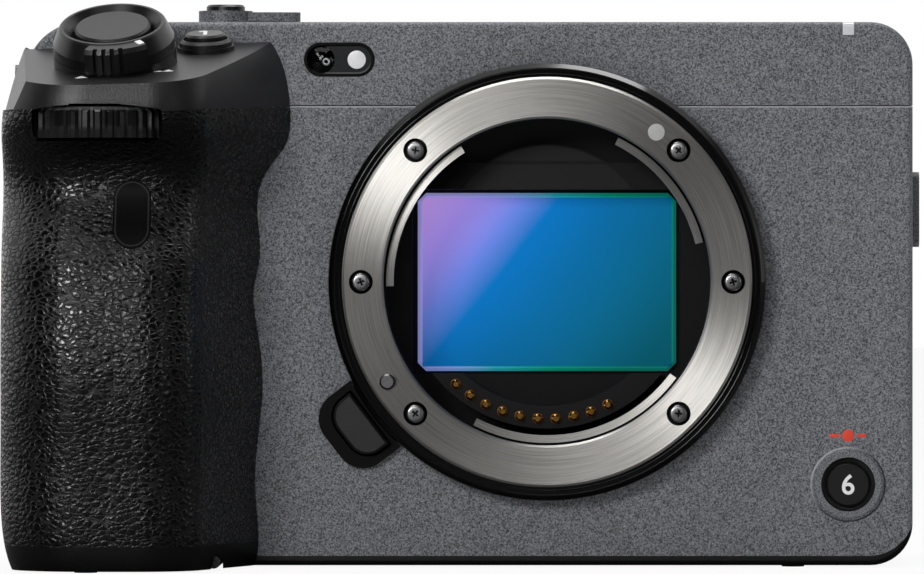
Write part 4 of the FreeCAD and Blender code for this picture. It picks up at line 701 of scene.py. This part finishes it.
def set_in_place(piece, place, side, finish, body="camera_body", turn=0.0):
    """Puts a piece from the bench at a place on a side, given as (facing, up), and finishes it."""
    normal = Vector(side[0]).normalized()
    across = Vector(side[1]).cross(normal).normalized()
    axes = Matrix((across, normal.cross(across), normal)).transposed().to_4x4()
    piece.matrix_world = Matrix.Translation(Vector(place)) @ axes @ Matrix.Rotation(turn, 4, "Z")
    fix_in(piece)
    piece.data.materials.clear()
    piece.data.materials.append(finish)
    bpy.ops.object.shade_smooth_by_angle(angle=math.radians(35))
    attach(piece, body)
    return piece


def around_axis(radius, degrees, y):
    """Point on a circle round the lens axis, with the radius in millimetres."""
    turn = math.radians(degrees)
    return (AXIS_X + radius * MM * math.cos(turn), y, AXIS_Z + radius * MM * math.sin(turn))


# %% [markdown]
# ## Cross-head screws
# Six bright pan-head screws hold the mount ring and four small ones the base. A screw starts as a short
# cylinder. The rim of its head is bevelled round, its underside is inset and drawn out to the shank, and
# a plus-shaped cutter, a cube with its four sides drawn out and its foot narrowed, sinks the cross. One
# screw of each size is modelled, and the others are copies of it.


# %% Model a screw
def cross_screw(name, *sizes):
    """A screw from its head's radius and thickness, and its shank's radius and length."""
    head, thick, shank, length = metres(*sizes)
    screw = fresh(bpy.ops.mesh.primitive_cylinder_add, name, vertices=40, radius=head, depth=thick,
                  location=(0, 0, -thick / 2))
    fix_in(screw)
    pick(screw, lambda a, b: min(a.z, b.z) > -thick / 9, "EDGE")
    bpy.ops.mesh.bevel(offset=min(head * 0.34, thick * 0.8), segments=4)
    leave_edit()
    pick(screw, lambda centre, normal: normal.z < -0.9)
    bpy.ops.mesh.inset(thickness=head - shank)
    bpy.ops.mesh.extrude_region_move(TRANSFORM_OT_translate={"value": (0, 0, -length)})
    leave_edit()
    cutter = fresh(bpy.ops.mesh.primitive_cube_add, "cutter", size=head * 0.3)
    cutter.scale.z = 2.4
    fix_in(cutter)
    pick(cutter, lambda centre, normal: abs(normal.z) < 0.5)
    bpy.ops.mesh.extrude_faces_move(TRANSFORM_OT_shrink_fatten={"value": head * 0.42})
    leave_edit()
    pick(cutter, lambda centre, normal: normal.z < -0.9)
    bpy.ops.transform.resize(value=(0.4, 0.4, 1))
    leave_edit()
    cut = screw.modifiers.new("cross", "BOOLEAN")
    cut.operation, cut.object = "DIFFERENCE", cutter
    apply_modifier(screw, cut)
    bpy.data.objects.remove(cutter)
    return screw


# %% [markdown]
# ## Screws of the mount ring and the base
# The ring's screws are steel, with painted shade in the cross. It is drawn by depth behind the ring's face.

# %% Screws of the mount ring
screw_steel, tree, shader, effect = grained("screw_steel", (140, 140, 142), (190, 190, 192), 2600, 1.0, 0.28,
                                            metallic=1.0)
# Painted shade in the cross and anything deeper than the ring's face.
cross_shade = fade(split(tree)["Y"], SEAT_Y + 0.08 * MM, SEAT_Y + 0.26 * MM, 0.0, 0.95)
surface(shader, blend(cross_shade, effect["Color"], ink(9, 9, 10)), effect["Roughness"], effect["Height"], 0.01)

mount_screw = cross_screw("mount_screw", 1.35, 0.75, 0.8, 4.5)
for number, degrees in enumerate((0, 45, 135, 180, 225, 315)):
    screw = duplicate(mount_screw, f"mount_screw_{number}")
    set_in_place(screw, around_axis(SCREW_CIRCLE, degrees, SEAT_Y - 0.05 * MM), FRONT, screw_steel,
                 turn=math.radians(17 + 31 * number))
    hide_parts("mount_screws")
bpy.data.objects.remove(mount_screw)
print("six screws on a circle of", SCREW_CIRCLE, "mm")

# %% Screws of the base plate
base_low, base_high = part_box("cover_screws")
HEAD = 1.4
base_screw = cross_screw("base_screw", HEAD, 0.65, 0.8, 6.2)
rim = HEAD * MM
corners = [(x, y) for y in (base_low.y + rim, base_high.y - rim)
           for x in (base_low.x + rim, base_high.x - rim)]
for number, (x, y) in enumerate(corners):
    screw = duplicate(base_screw, f"base_screw_{number}")
    set_in_place(screw, (x, y, base_low.z), UNDER, bright_chrome, turn=0.4 + number)
    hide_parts("cover_screws")
bpy.data.objects.remove(base_screw)
print(len(corners), "screws in the base")

# %% [markdown]
# ## Discs, bars and rings
# Three plain shapes make many small fittings and printed marks: a disc and a bar with softly bevelled
# rims, and a ring whose section is a small bevelled rectangle, spun round the axis.


# %% Model discs, bars and rings
def disc(name, radius, thick, rim, corners=48):
    radius, thick, rim = metres(radius, thick, rim)
    piece = fresh(bpy.ops.mesh.primitive_cylinder_add, name, vertices=corners, radius=radius, depth=thick,
                  location=(0, 0, thick / 2))
    fix_in(piece)
    pick(piece, lambda a, b: min(a.z, b.z) > thick * 0.9, "EDGE")
    bpy.ops.mesh.bevel(offset=rim, segments=3)
    leave_edit()
    return piece


def bar(name, length, width, thick, rim):
    length, width, thick, rim = metres(length, width, thick, rim)
    piece = fresh(bpy.ops.mesh.primitive_cube_add, name, size=1, location=(0, 0, thick / 2))
    piece.scale = (length, width, thick)
    fix_in(piece)
    pick(piece, lambda a, b: abs(a.z - b.z) > thick * 0.5, "EDGE")
    bpy.ops.mesh.bevel(offset=rim, segments=3)
    leave_edit()
    pick(piece, lambda a, b: min(a.z, b.z) > thick * 0.9, "EDGE")
    bpy.ops.mesh.bevel(offset=thick * 0.3, segments=2)
    leave_edit()
    return piece


def ring(name, inner, outer, low, high, rim, steps=64):
    inner, outer, low, high, rim = metres(inner, outer, low, high, rim)
    piece = fresh(bpy.ops.mesh.primitive_plane_add, name, size=1, rotation=(math.radians(90), 0, 0),
                  location=((inner + outer) / 2, 0, (low + high) / 2))
    piece.scale = (outer - inner, high - low, 1)
    fix_in(piece)
    pick(piece, lambda centre, normal: True)
    bpy.ops.mesh.bevel(offset=rim, segments=2, affect="VERTICES")
    bpy.ops.mesh.delete(type="ONLY_FACE")
    bpy.ops.mesh.select_all(action="SELECT")
    bpy.ops.mesh.spin(steps=steps, angle=math.tau, center=(0, 0, 0), axis=(0, 0, 1))
    merge_doubles(piece)
    bpy.ops.mesh.normals_make_consistent(inside=False)
    leave_edit()
    return piece


# %% [markdown]
# ## Fittings of the mount
# A pale dot on the ring shows where a lens goes in. Each gold contact sits in a copper-coloured rim,
# and thin ridges in the throat's wall catch stray light. The glossy trim ring round the mount has two
# fine ridges as well.

# %% Index dot and contact rims
INDEX_CIRCLE, INDEX_ANGLE = 26.2, 53.9
dot = disc("index_dot", 1.2, 0.16, 0.05)
set_in_place(dot, around_axis(INDEX_CIRCLE, INDEX_ANGLE, SEAT_Y + 0.15 * MM), FRONT, grey_mark)

CONTACTS = 10
CONTACT_CIRCLE = 19.4
FIRST_ANGLE, LAST_ANGLE = 228.3, 296.4
contact_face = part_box("contact_block")[0].y
rim_model = ring("contact_rim", 0.56, 0.78, -0.02, 0.14, 0.05, 28)
for number in range(CONTACTS):
    rim = duplicate(rim_model, f"contact_rim_{number}")
    degrees = FIRST_ANGLE + number * (LAST_ANGLE - FIRST_ANGLE) / (CONTACTS - 1)
    set_in_place(rim, around_axis(CONTACT_CIRCLE, degrees, contact_face), FRONT, copper_rim)
bpy.data.objects.remove(rim_model)
print(CONTACTS, "contact rims")

# %% Ridges of the trim ring and the throat
trim_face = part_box("mount_trim_ring")[0].y
for name, radius in (("trim_ridge_outer", 30.15), ("trim_ridge_inner", 29.45)):
    ridge = ring(name, radius - 0.09, radius + 0.09, -0.1, 0.09, 0.06, 128)
    set_in_place(ridge, (AXIS_X, trim_face, AXIS_Z), FRONT, gloss_black)

for number, depth in enumerate((6.4, 8.2, 10.0)):
    ridge = ring(f"throat_ridge_{number}", 23.0, 23.5, -0.12, 0.12, 0.08, 96)
    set_in_place(ridge, (AXIS_X, SEAT_Y + depth * MM, AXIS_Z), FRONT, throat_black)
print("five ridges round the lens axis")

# %% [markdown]
# ## The signal window
# Behind the clear dome sits a light source with a small bright cup and a sensor chip beside it. They
# are cast into the clear resin, a little below its surface.

# %% Cup and chip under the dome
lens_x, _, lens_z = middle("focus_lamp_lens")
lens_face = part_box("focus_lamp_lens")[0].y
cup = ring("lamp_cup", 0.22, 0.55, 0.0, 0.3, 0.1, 32)
set_in_place(cup, (lens_x + 0.75 * MM, lens_face + 0.75 * MM, lens_z - 0.3 * MM), FRONT, cast_aluminium)
chip = bar("lamp_chip", 0.42, 0.34, 0.16, 0.06)
set_in_place(chip, (lens_x + 0.15 * MM, lens_face + 0.6 * MM, lens_z + 0.4 * MM), FRONT, grey_mark,
             turn=0.5)
print("cup and chip behind the dome at", round(lens_x / MM, 1), "mm")

# %% [markdown]
# ## Marks on the front
# The record button carries a white numeral, cut from Blender's own font and made a thin mesh. A red
# dot between two short bars stands over it. Marks are printed, so they are a few hundredths of a
# millimetre thick.


# %% Numerals and printed marks
def numeral(name, digit, height, thick):
    height, thick = metres(height, thick)
    bpy.ops.object.select_all(action="DESELECT")
    bpy.ops.object.text_add()
    text = bpy.context.object
    text.data.body = digit
    text.data.extrude = 0.02
    text.data.offset = 0.014
    bpy.ops.object.convert(target="MESH")
    piece = bpy.context.object
    piece.name = name
    low = [min(v.co[i] for v in piece.data.vertices) for i in range(3)]
    high = [max(v.co[i] for v in piece.data.vertices) for i in range(3)]
    size = height / (high[1] - low[1])
    piece.scale = (size, size, thick / (high[2] - low[2]))
    piece.location = (-(low[0] + high[0]) / 2 * size, -(low[1] + high[1]) / 2 * size, thick / 2)
    fix_in(piece)
    merge_doubles(piece)
    leave_edit()
    return piece


def print_on(piece, place, side, body="camera_body", finish=white_mark, turn=0.0):
    """A printed mark set in its place."""
    set_in_place(piece, place, side, finish, body, turn)


# %% Marks of the record button
button_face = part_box("front_record_button")[0].y
MARK_RISE = 6.9 * MM
print_on(numeral("record_numeral", "6", 2.9, 0.04), (RECORD_X, button_face, RECORD_Z), FRONT,
         "front_record_button")
well = ring("record_well", 3.22, 3.82, -0.5, -0.35, 0.04)
set_in_place(well, (RECORD_X, CASE_FRONT, RECORD_Z), FRONT, button_plastic)
print_on(disc("record_dot", 0.85, 0.04, 0.015), (RECORD_X, CASE_FRONT, RECORD_Z + MARK_RISE),
         FRONT, finish=red_mark)
for side, name in ((-1, "record_bar_left"), (1, "record_bar_right")):
    print_on(bar(name, 1.3, 0.45, 0.04, 0.1),
             (RECORD_X + side * 1.9 * MM, CASE_FRONT, RECORD_Z + MARK_RISE), FRONT, finish=red_mark)
print("record button's marks at", round(RECORD_X / MM, 1), "mm")

# %% [markdown]
# ## Marks on the grip's cap
# The lever round the shutter button turns about a tilted axis, which the model's own joint gives. Its
# white index lies on the rim. Three small triangles, one for near and two for far, stand on the cap in
# front of it. The cap's top is a plane that falls to the front, so the marks take that tilt too.


# %% Lever index
def joint_of(body):
    """The joint that moves a body."""
    return next(joint for joint in frame["joints"] if joint["child"] == body)


INDEX_REACH = 7.85 * MM
lever_axis = Vector(joint_of("zoom_lever")["axis"])
lever_top = Vector(joint_of("zoom_lever")["pos_m"])
forwards = Vector((0, -1, 0))
outward = (forwards - lever_axis * lever_axis.dot(forwards)).normalized()
index_side = Matrix.Rotation(math.radians(29), 3, lever_axis) @ outward
print_on(bar("lever_index", 0.9, 1.7, 0.06, 0.12),
         lever_top + lever_axis * 0.1 * MM + index_side * INDEX_REACH, (lever_axis, index_side), "zoom_lever")
print("index", INDEX_REACH / MM, "mm from the lever's axis")

# %% Marks of the cap
CAP_TILT, CAP_FALL, CAP_HEIGHT = 0.03, 0.21, 67.7
CAP_NORMAL = Vector((-CAP_TILT, -CAP_FALL, 1)).normalized()
COLLAR_RISE, CUSTOM_RISE = 1.6, 0.8


def on_cap(x, y):
    """Point of the cap's sloping top, from millimetres across and back."""
    return (x * MM, y * MM, (CAP_HEIGHT + CAP_FALL * (y + 42.0) + CAP_TILT * (x + 61.8)) * MM)


for name, x, y, size in (("near_mark", -64.8, -37.0, 1.0), ("far_mark_left", -54.3, -34.0, 0.85),
                         ("far_mark_right", -52.8, -34.0, 0.85)):
    print_on(disc(name, size, 0.03, 0.01, corners=3), on_cap(x, y), (CAP_NORMAL, (0, 1, 0)))

custom_axis = -Vector(joint_of("custom_button")["axis"])
custom_top = Vector(on_cap(-48.2, -18.6)) + custom_axis * (COLLAR_RISE + CUSTOM_RISE) * MM
for name, length, width, x, y, turn in (("custom_stroke", 2.9, 0.55, 0.0, 0.0, 90),
                                        ("custom_flag", 1.1, 0.5, -0.42, 1.1, 40)):
    print_on(bar(name, length, width, 0.04, 0.08),
             custom_top + Vector((x, y, y * CAP_FALL)) * MM, (custom_axis, (0, 1, 0)), "custom_button",
             turn=math.radians(turn))
print("cap marks on a slope of", CAP_NORMAL[:])

# %% [markdown]
# ## Threads
# The tripod socket and the three inserts on top take a quarter-inch screw with twenty turns to the
# inch. A thread's ridge has a small trapezium as its section. It starts as a plane whose inner edge is
# made narrower, and a Screw modifier winds it along the hole.

# %% Thread ridges
PITCH = 1.27 * MM
MAJOR = 3.175 * MM


def thread_ridge(name, turns):
    ridge = fresh(bpy.ops.mesh.primitive_plane_add, name, size=1, rotation=(math.radians(90), 0, 0),
                  location=(MAJOR - 0.2 * MM, 0, 0))
    ridge.scale = (0.44 * MM, PITCH * 0.8, 1)
    fix_in(ridge)
    pick(ridge, lambda a, b: max(a.x, b.x) < MAJOR - 0.3 * MM, "EDGE")
    bpy.ops.transform.resize(value=(1, 1, 0.25))
    bpy.ops.mesh.select_all(action="SELECT")
    bpy.ops.mesh.delete(type="ONLY_FACE")
    leave_edit()
    wind = ridge.modifiers.new("wind", "SCREW")
    wind.axis, wind.angle, wind.iterations = "Z", math.tau, turns
    wind.screw_offset = -PITCH
    wind.steps = wind.render_steps = 32
    apply_modifier(ridge, wind)
    merge_doubles(ridge)
    bpy.ops.mesh.fill_holes(sides=4)
    bpy.ops.mesh.normals_make_consistent(inside=False)
    leave_edit()
    return ridge


# %% Threads of the inserts and the socket
top_low, top_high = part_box("thread_inserts")
INSERT_RADIUS = 4.5 * MM
INSERT_STEP = 18 * MM
insert_y = middle("thread_inserts")[1]
last_x = top_high.x - INSERT_RADIUS
for number, x in enumerate((top_low.x + INSERT_RADIUS, last_x - INSERT_STEP, last_x)):
    set_in_place(thread_ridge(f"insert_thread_{number}", 3), (x, insert_y, top_high.z - 1.1 * MM), TOP,
                 satin_steel)
set_in_place(thread_ridge("socket_thread", 3), (0, 0, 1.1 * MM), UNDER, satin_steel)
print("four threads of pitch", PITCH / MM, "mm")

# %% [markdown]
# ## The accessory shoe
# Two leaf springs press an accessory's foot upwards, and a row of gold pads at the front end carries
# its signals. A spring is a thin bar, cut across by subdividing, whose middle is lifted in steps.


# %% Springs and pads of the shoe
def leaf_spring(name, length, width, thick, rise):
    leaf = bar(name, width, length, thick, width * 0.2)
    length, thick, rise = metres(length, thick, rise)
    pick(leaf, lambda a, b: abs(a.y - b.y) > length * 0.5, "EDGE")
    bpy.ops.mesh.subdivide(number_cuts=8)
    leave_edit()
    for share in (0.36, 0.27, 0.18, 0.09):
        pick(leaf, lambda a, b: max(abs(a.y), abs(b.y)) < length * share + thick, "EDGE")
        bpy.ops.transform.translate(value=(0, 0, rise / 4))
        leave_edit()
    return leaf


shoe_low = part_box("accessory_shoe")[0]
shoe_x, shoe_y, _ = middle("accessory_shoe")
shoe_floor = shoe_low.z + 1.0 * MM
SPRING_REACH, PAD_STEP = 7.9 * MM, 1.2 * MM
for side, name in ((-1, "shoe_spring_left"), (1, "shoe_spring_right")):
    set_in_place(leaf_spring(name, 17, 1.7, 0.25, 0.5),
                 (shoe_x + side * SPRING_REACH, shoe_y + 0.6 * MM, shoe_floor), TOP, satin_steel)
for number in range(7):
    set_in_place(bar(f"shoe_pad_{number}", 0.7, 2.6, 0.1, 0.12),
                 (shoe_x + (number - 3) * PAD_STEP, shoe_low.y + 3.6 * MM, shoe_floor), TOP, contact_gold)
print("shoe floor at", round(shoe_floor / MM, 2), "mm")

# %% [markdown]
# ## Marks on the top and back
# The power lever has a dot for off and a bar for on, the playback button a triangle, and the menu
# button three short lines. They are plain signs that any recorder carries.

# %% Signs on the top
case_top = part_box("tally_lamp")[1].z
lever_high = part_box("power_lever")[1]
pivot = Vector(joint_of("power_lever")["pos_m"])
OFF_REACH, ON_REACH = 13.2 * MM, 13.4 * MM
print_on(disc("power_off_dot", 0.5, 0.03, 0.01), (pivot.x + OFF_REACH, pivot.y, case_top), TOP)
on_turn = math.radians(-35)
on_place = (pivot.x + ON_REACH * math.cos(on_turn), pivot.y + ON_REACH * math.sin(on_turn), case_top)
print_on(bar("power_on_bar", 1.4, 0.4, 0.03, 0.08), on_place, TOP, turn=on_turn)
print_on(bar("power_lever_line", 2.6, 0.45, 0.03, 0.1),
         (lever_high.x - 2.6 * MM, pivot.y, lever_high.z - 0.2 * MM), TOP, "power_lever")
print("top at", round(case_top / MM, 2), "mm")

# %% Signs on the buttons
play_x, _, play_z = middle("play_button")
print_on(disc("play_sign", 1.1, 0.04, 0.01, corners=3),
         (play_x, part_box("play_button")[1].y, play_z), BACK, "play_button", turn=math.radians(-90))
menu_x, _, menu_z = middle("menu_button")
for number in range(3):
    print_on(bar(f"menu_line_{number}", 2.2, 0.34, 0.04, 0.08),
             (menu_x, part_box("menu_button")[1].y, menu_z + (number - 1) * 0.85 * MM), BACK, "menu_button")
print_on(disc("top_record_dot", 0.8, 0.04, 0.015),
         (pivot.x, pivot.y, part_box("top_record_button")[1].z), TOP, "top_record_button", red_mark)
print("signs on four buttons and the lever")

# %% [markdown]
# ## The stage
# The picture is a plain product photograph: a white sweep, a soft lamp high on the left, weaker ones
# on the right and above, and a small card that only glossy faces show. The room is pale round the
# object and dim behind the camera, as a studio is, so polished faces stay dark between the lamps'
# reflections. The camera sees the floor as part white light, with a faint shadow, and a reflection
# sees it dark, as if the table ended in front of the camera.

# %% Floor
floor = fresh(bpy.ops.mesh.primitive_plane_add, "floor", size=8.0, location=(0, 0, cad_box[0].z))
floor_white, tree, shader, effect = grained("floor_white", (238, 238, 238), (246, 246, 246), 60, 0.6, 0.6,
                                            spread=0.05, drift=0.4)
glow = add(tree, "Emission", Strength=1.0)
rays = add(tree, "LightPath").outputs
surface(shader, blend(rays["Is Glossy Ray"], effect["Color"], ink(50, 50, 50)))
GLOW_SHARE = 0.92
to_camera = times(rays["Is Camera Ray"], GLOW_SHARE)
part_glow = add(tree, "MixShader")
for number, value in enumerate((to_camera, shader.outputs[0], glow.outputs[0])):
    feed(part_glow.inputs[number], value)
feed(tree.nodes["Material Output"].inputs["Surface"], part_glow.outputs[0])
floor.data.materials.append(floor_white)
print("floor at", round(floor.location.z / MM, 2), "mm")

# %% Lamps
CENTRE = (cad_box[0] + cad_box[1]) / 2
LAMPS = [  # name, place, width and height, power; each points at the middle of the object
    ("key_left", (-0.35, -0.74, 0.295), (0.2, 0.2), 2.5),
    ("front_card", (-0.1, -1.0, 0.3), (0.26, 0.1), 0.6),
    ("front_top", (-0.05, -0.2, 0.24), (0.3, 0.06), 0.06),
    ("fill_right", (0.6, -0.7, 0.08), (0.12, 0.5), 0.3),
    ("top_rim", (0.0, -0.02, 0.7), (0.7, 0.16), 3.0),
]
for name, place, size, power in LAMPS:
    data = bpy.data.lights.new(name, "AREA")
    data.shape = "RECTANGLE"
    data.size, data.size_y = size
    data.energy = power
    lamp = bpy.data.objects.new(name, data)
    bpy.context.scene.collection.objects.link(lamp)
    lamp.location = place
    lamp.rotation_euler = (CENTRE - Vector(place)).to_track_quat("-Z", "Y").to_euler()
print(len(bpy.data.lights), "lamps")

# %% World
world = bpy.data.worlds.new("pale_room")
bpy.context.scene.world = world
world.use_nodes = True
tree = world.node_tree
room = tree.nodes["Background"]
room.inputs["Color"].default_value = (1, 1, 1, 1)
rays = add(tree, "LightPath").outputs
seen = maths("MAXIMUM", rays["Is Camera Ray"], rays["Is Transmission Ray"])
ahead = split(tree, add(tree, "TexCoord").outputs["Generated"])["Y"]
behind = times(rays["Is Glossy Ray"], maths("GREATER_THAN", ahead, 0.1))
depth = fade(ahead, -0.15, 0.4, 0.015, 0.6)
feed(room.inputs["Strength"], maths("MAXIMUM", maths("MAXIMUM", seen, behind), depth))
print("room on", len(tree.nodes), "nodes")

# %% [markdown]
# ## The camera
# The photograph is taken square on, at the height of the lens axis, from far away. The picture isn't
# centred on the axis, so the sensor is shifted rather than the camera turned.

# %% Photograph's camera
IMAGE_WIDTH, IMAGE_HEIGHT = 924, 574
AXIS_PIXEL = (547, 282)
PIXELS_PER_METRE = 7050.0
DISTANCE = 1.2

data = bpy.data.cameras.new("camera")
camera = bpy.data.objects.new("camera", data)
bpy.context.scene.collection.objects.link(camera)
camera.location = (AXIS_X, CASE_FRONT - DISTANCE, AXIS_Z)
camera.rotation_euler = (math.radians(90), 0, 0)
data.sensor_width = 36.0
data.lens = PIXELS_PER_METRE * DISTANCE * data.sensor_width / IMAGE_WIDTH
data.shift_x = (IMAGE_WIDTH / 2 - AXIS_PIXEL[0]) / IMAGE_WIDTH
data.shift_y = (AXIS_PIXEL[1] - IMAGE_HEIGHT / 2) / IMAGE_WIDTH
data.clip_start = 0.01
bpy.context.scene.camera = camera
bpy.context.scene.view_settings.view_transform = "Standard"
print(f"lens {data.lens:.1f} mm, shift {data.shift_x:.4f}, {data.shift_y:.4f}")

# %% [markdown]
# ## Node trees that can be read
# Someone who opens a finish in the Shader Editor should see what feeds what. So the nodes of each tree
# are set in columns, each node to the left of all that it feeds.


# %% Lay out the node trees
def lay_out(tree):
    column = {node.name: 0 for node in tree.nodes}
    links = [(link.from_node.name, link.to_node.name) for link in tree.links]
    while any(column[source] <= column[target] for source, target in links):
        for source, target in links:
            column[source] = max(column[source], column[target] + 1)
    filled = {}
    for name, number in column.items():
        filled[number] = filled.get(number, 0) + 1
        tree.nodes[name].location = (-220 * number, -200 * filled[number])


trees = [holder.node_tree for holder in (*bpy.data.materials, world) if holder.use_nodes]
for tree in trees + list(bpy.data.node_groups):
    lay_out(tree)
print(len(trees), "trees laid out")
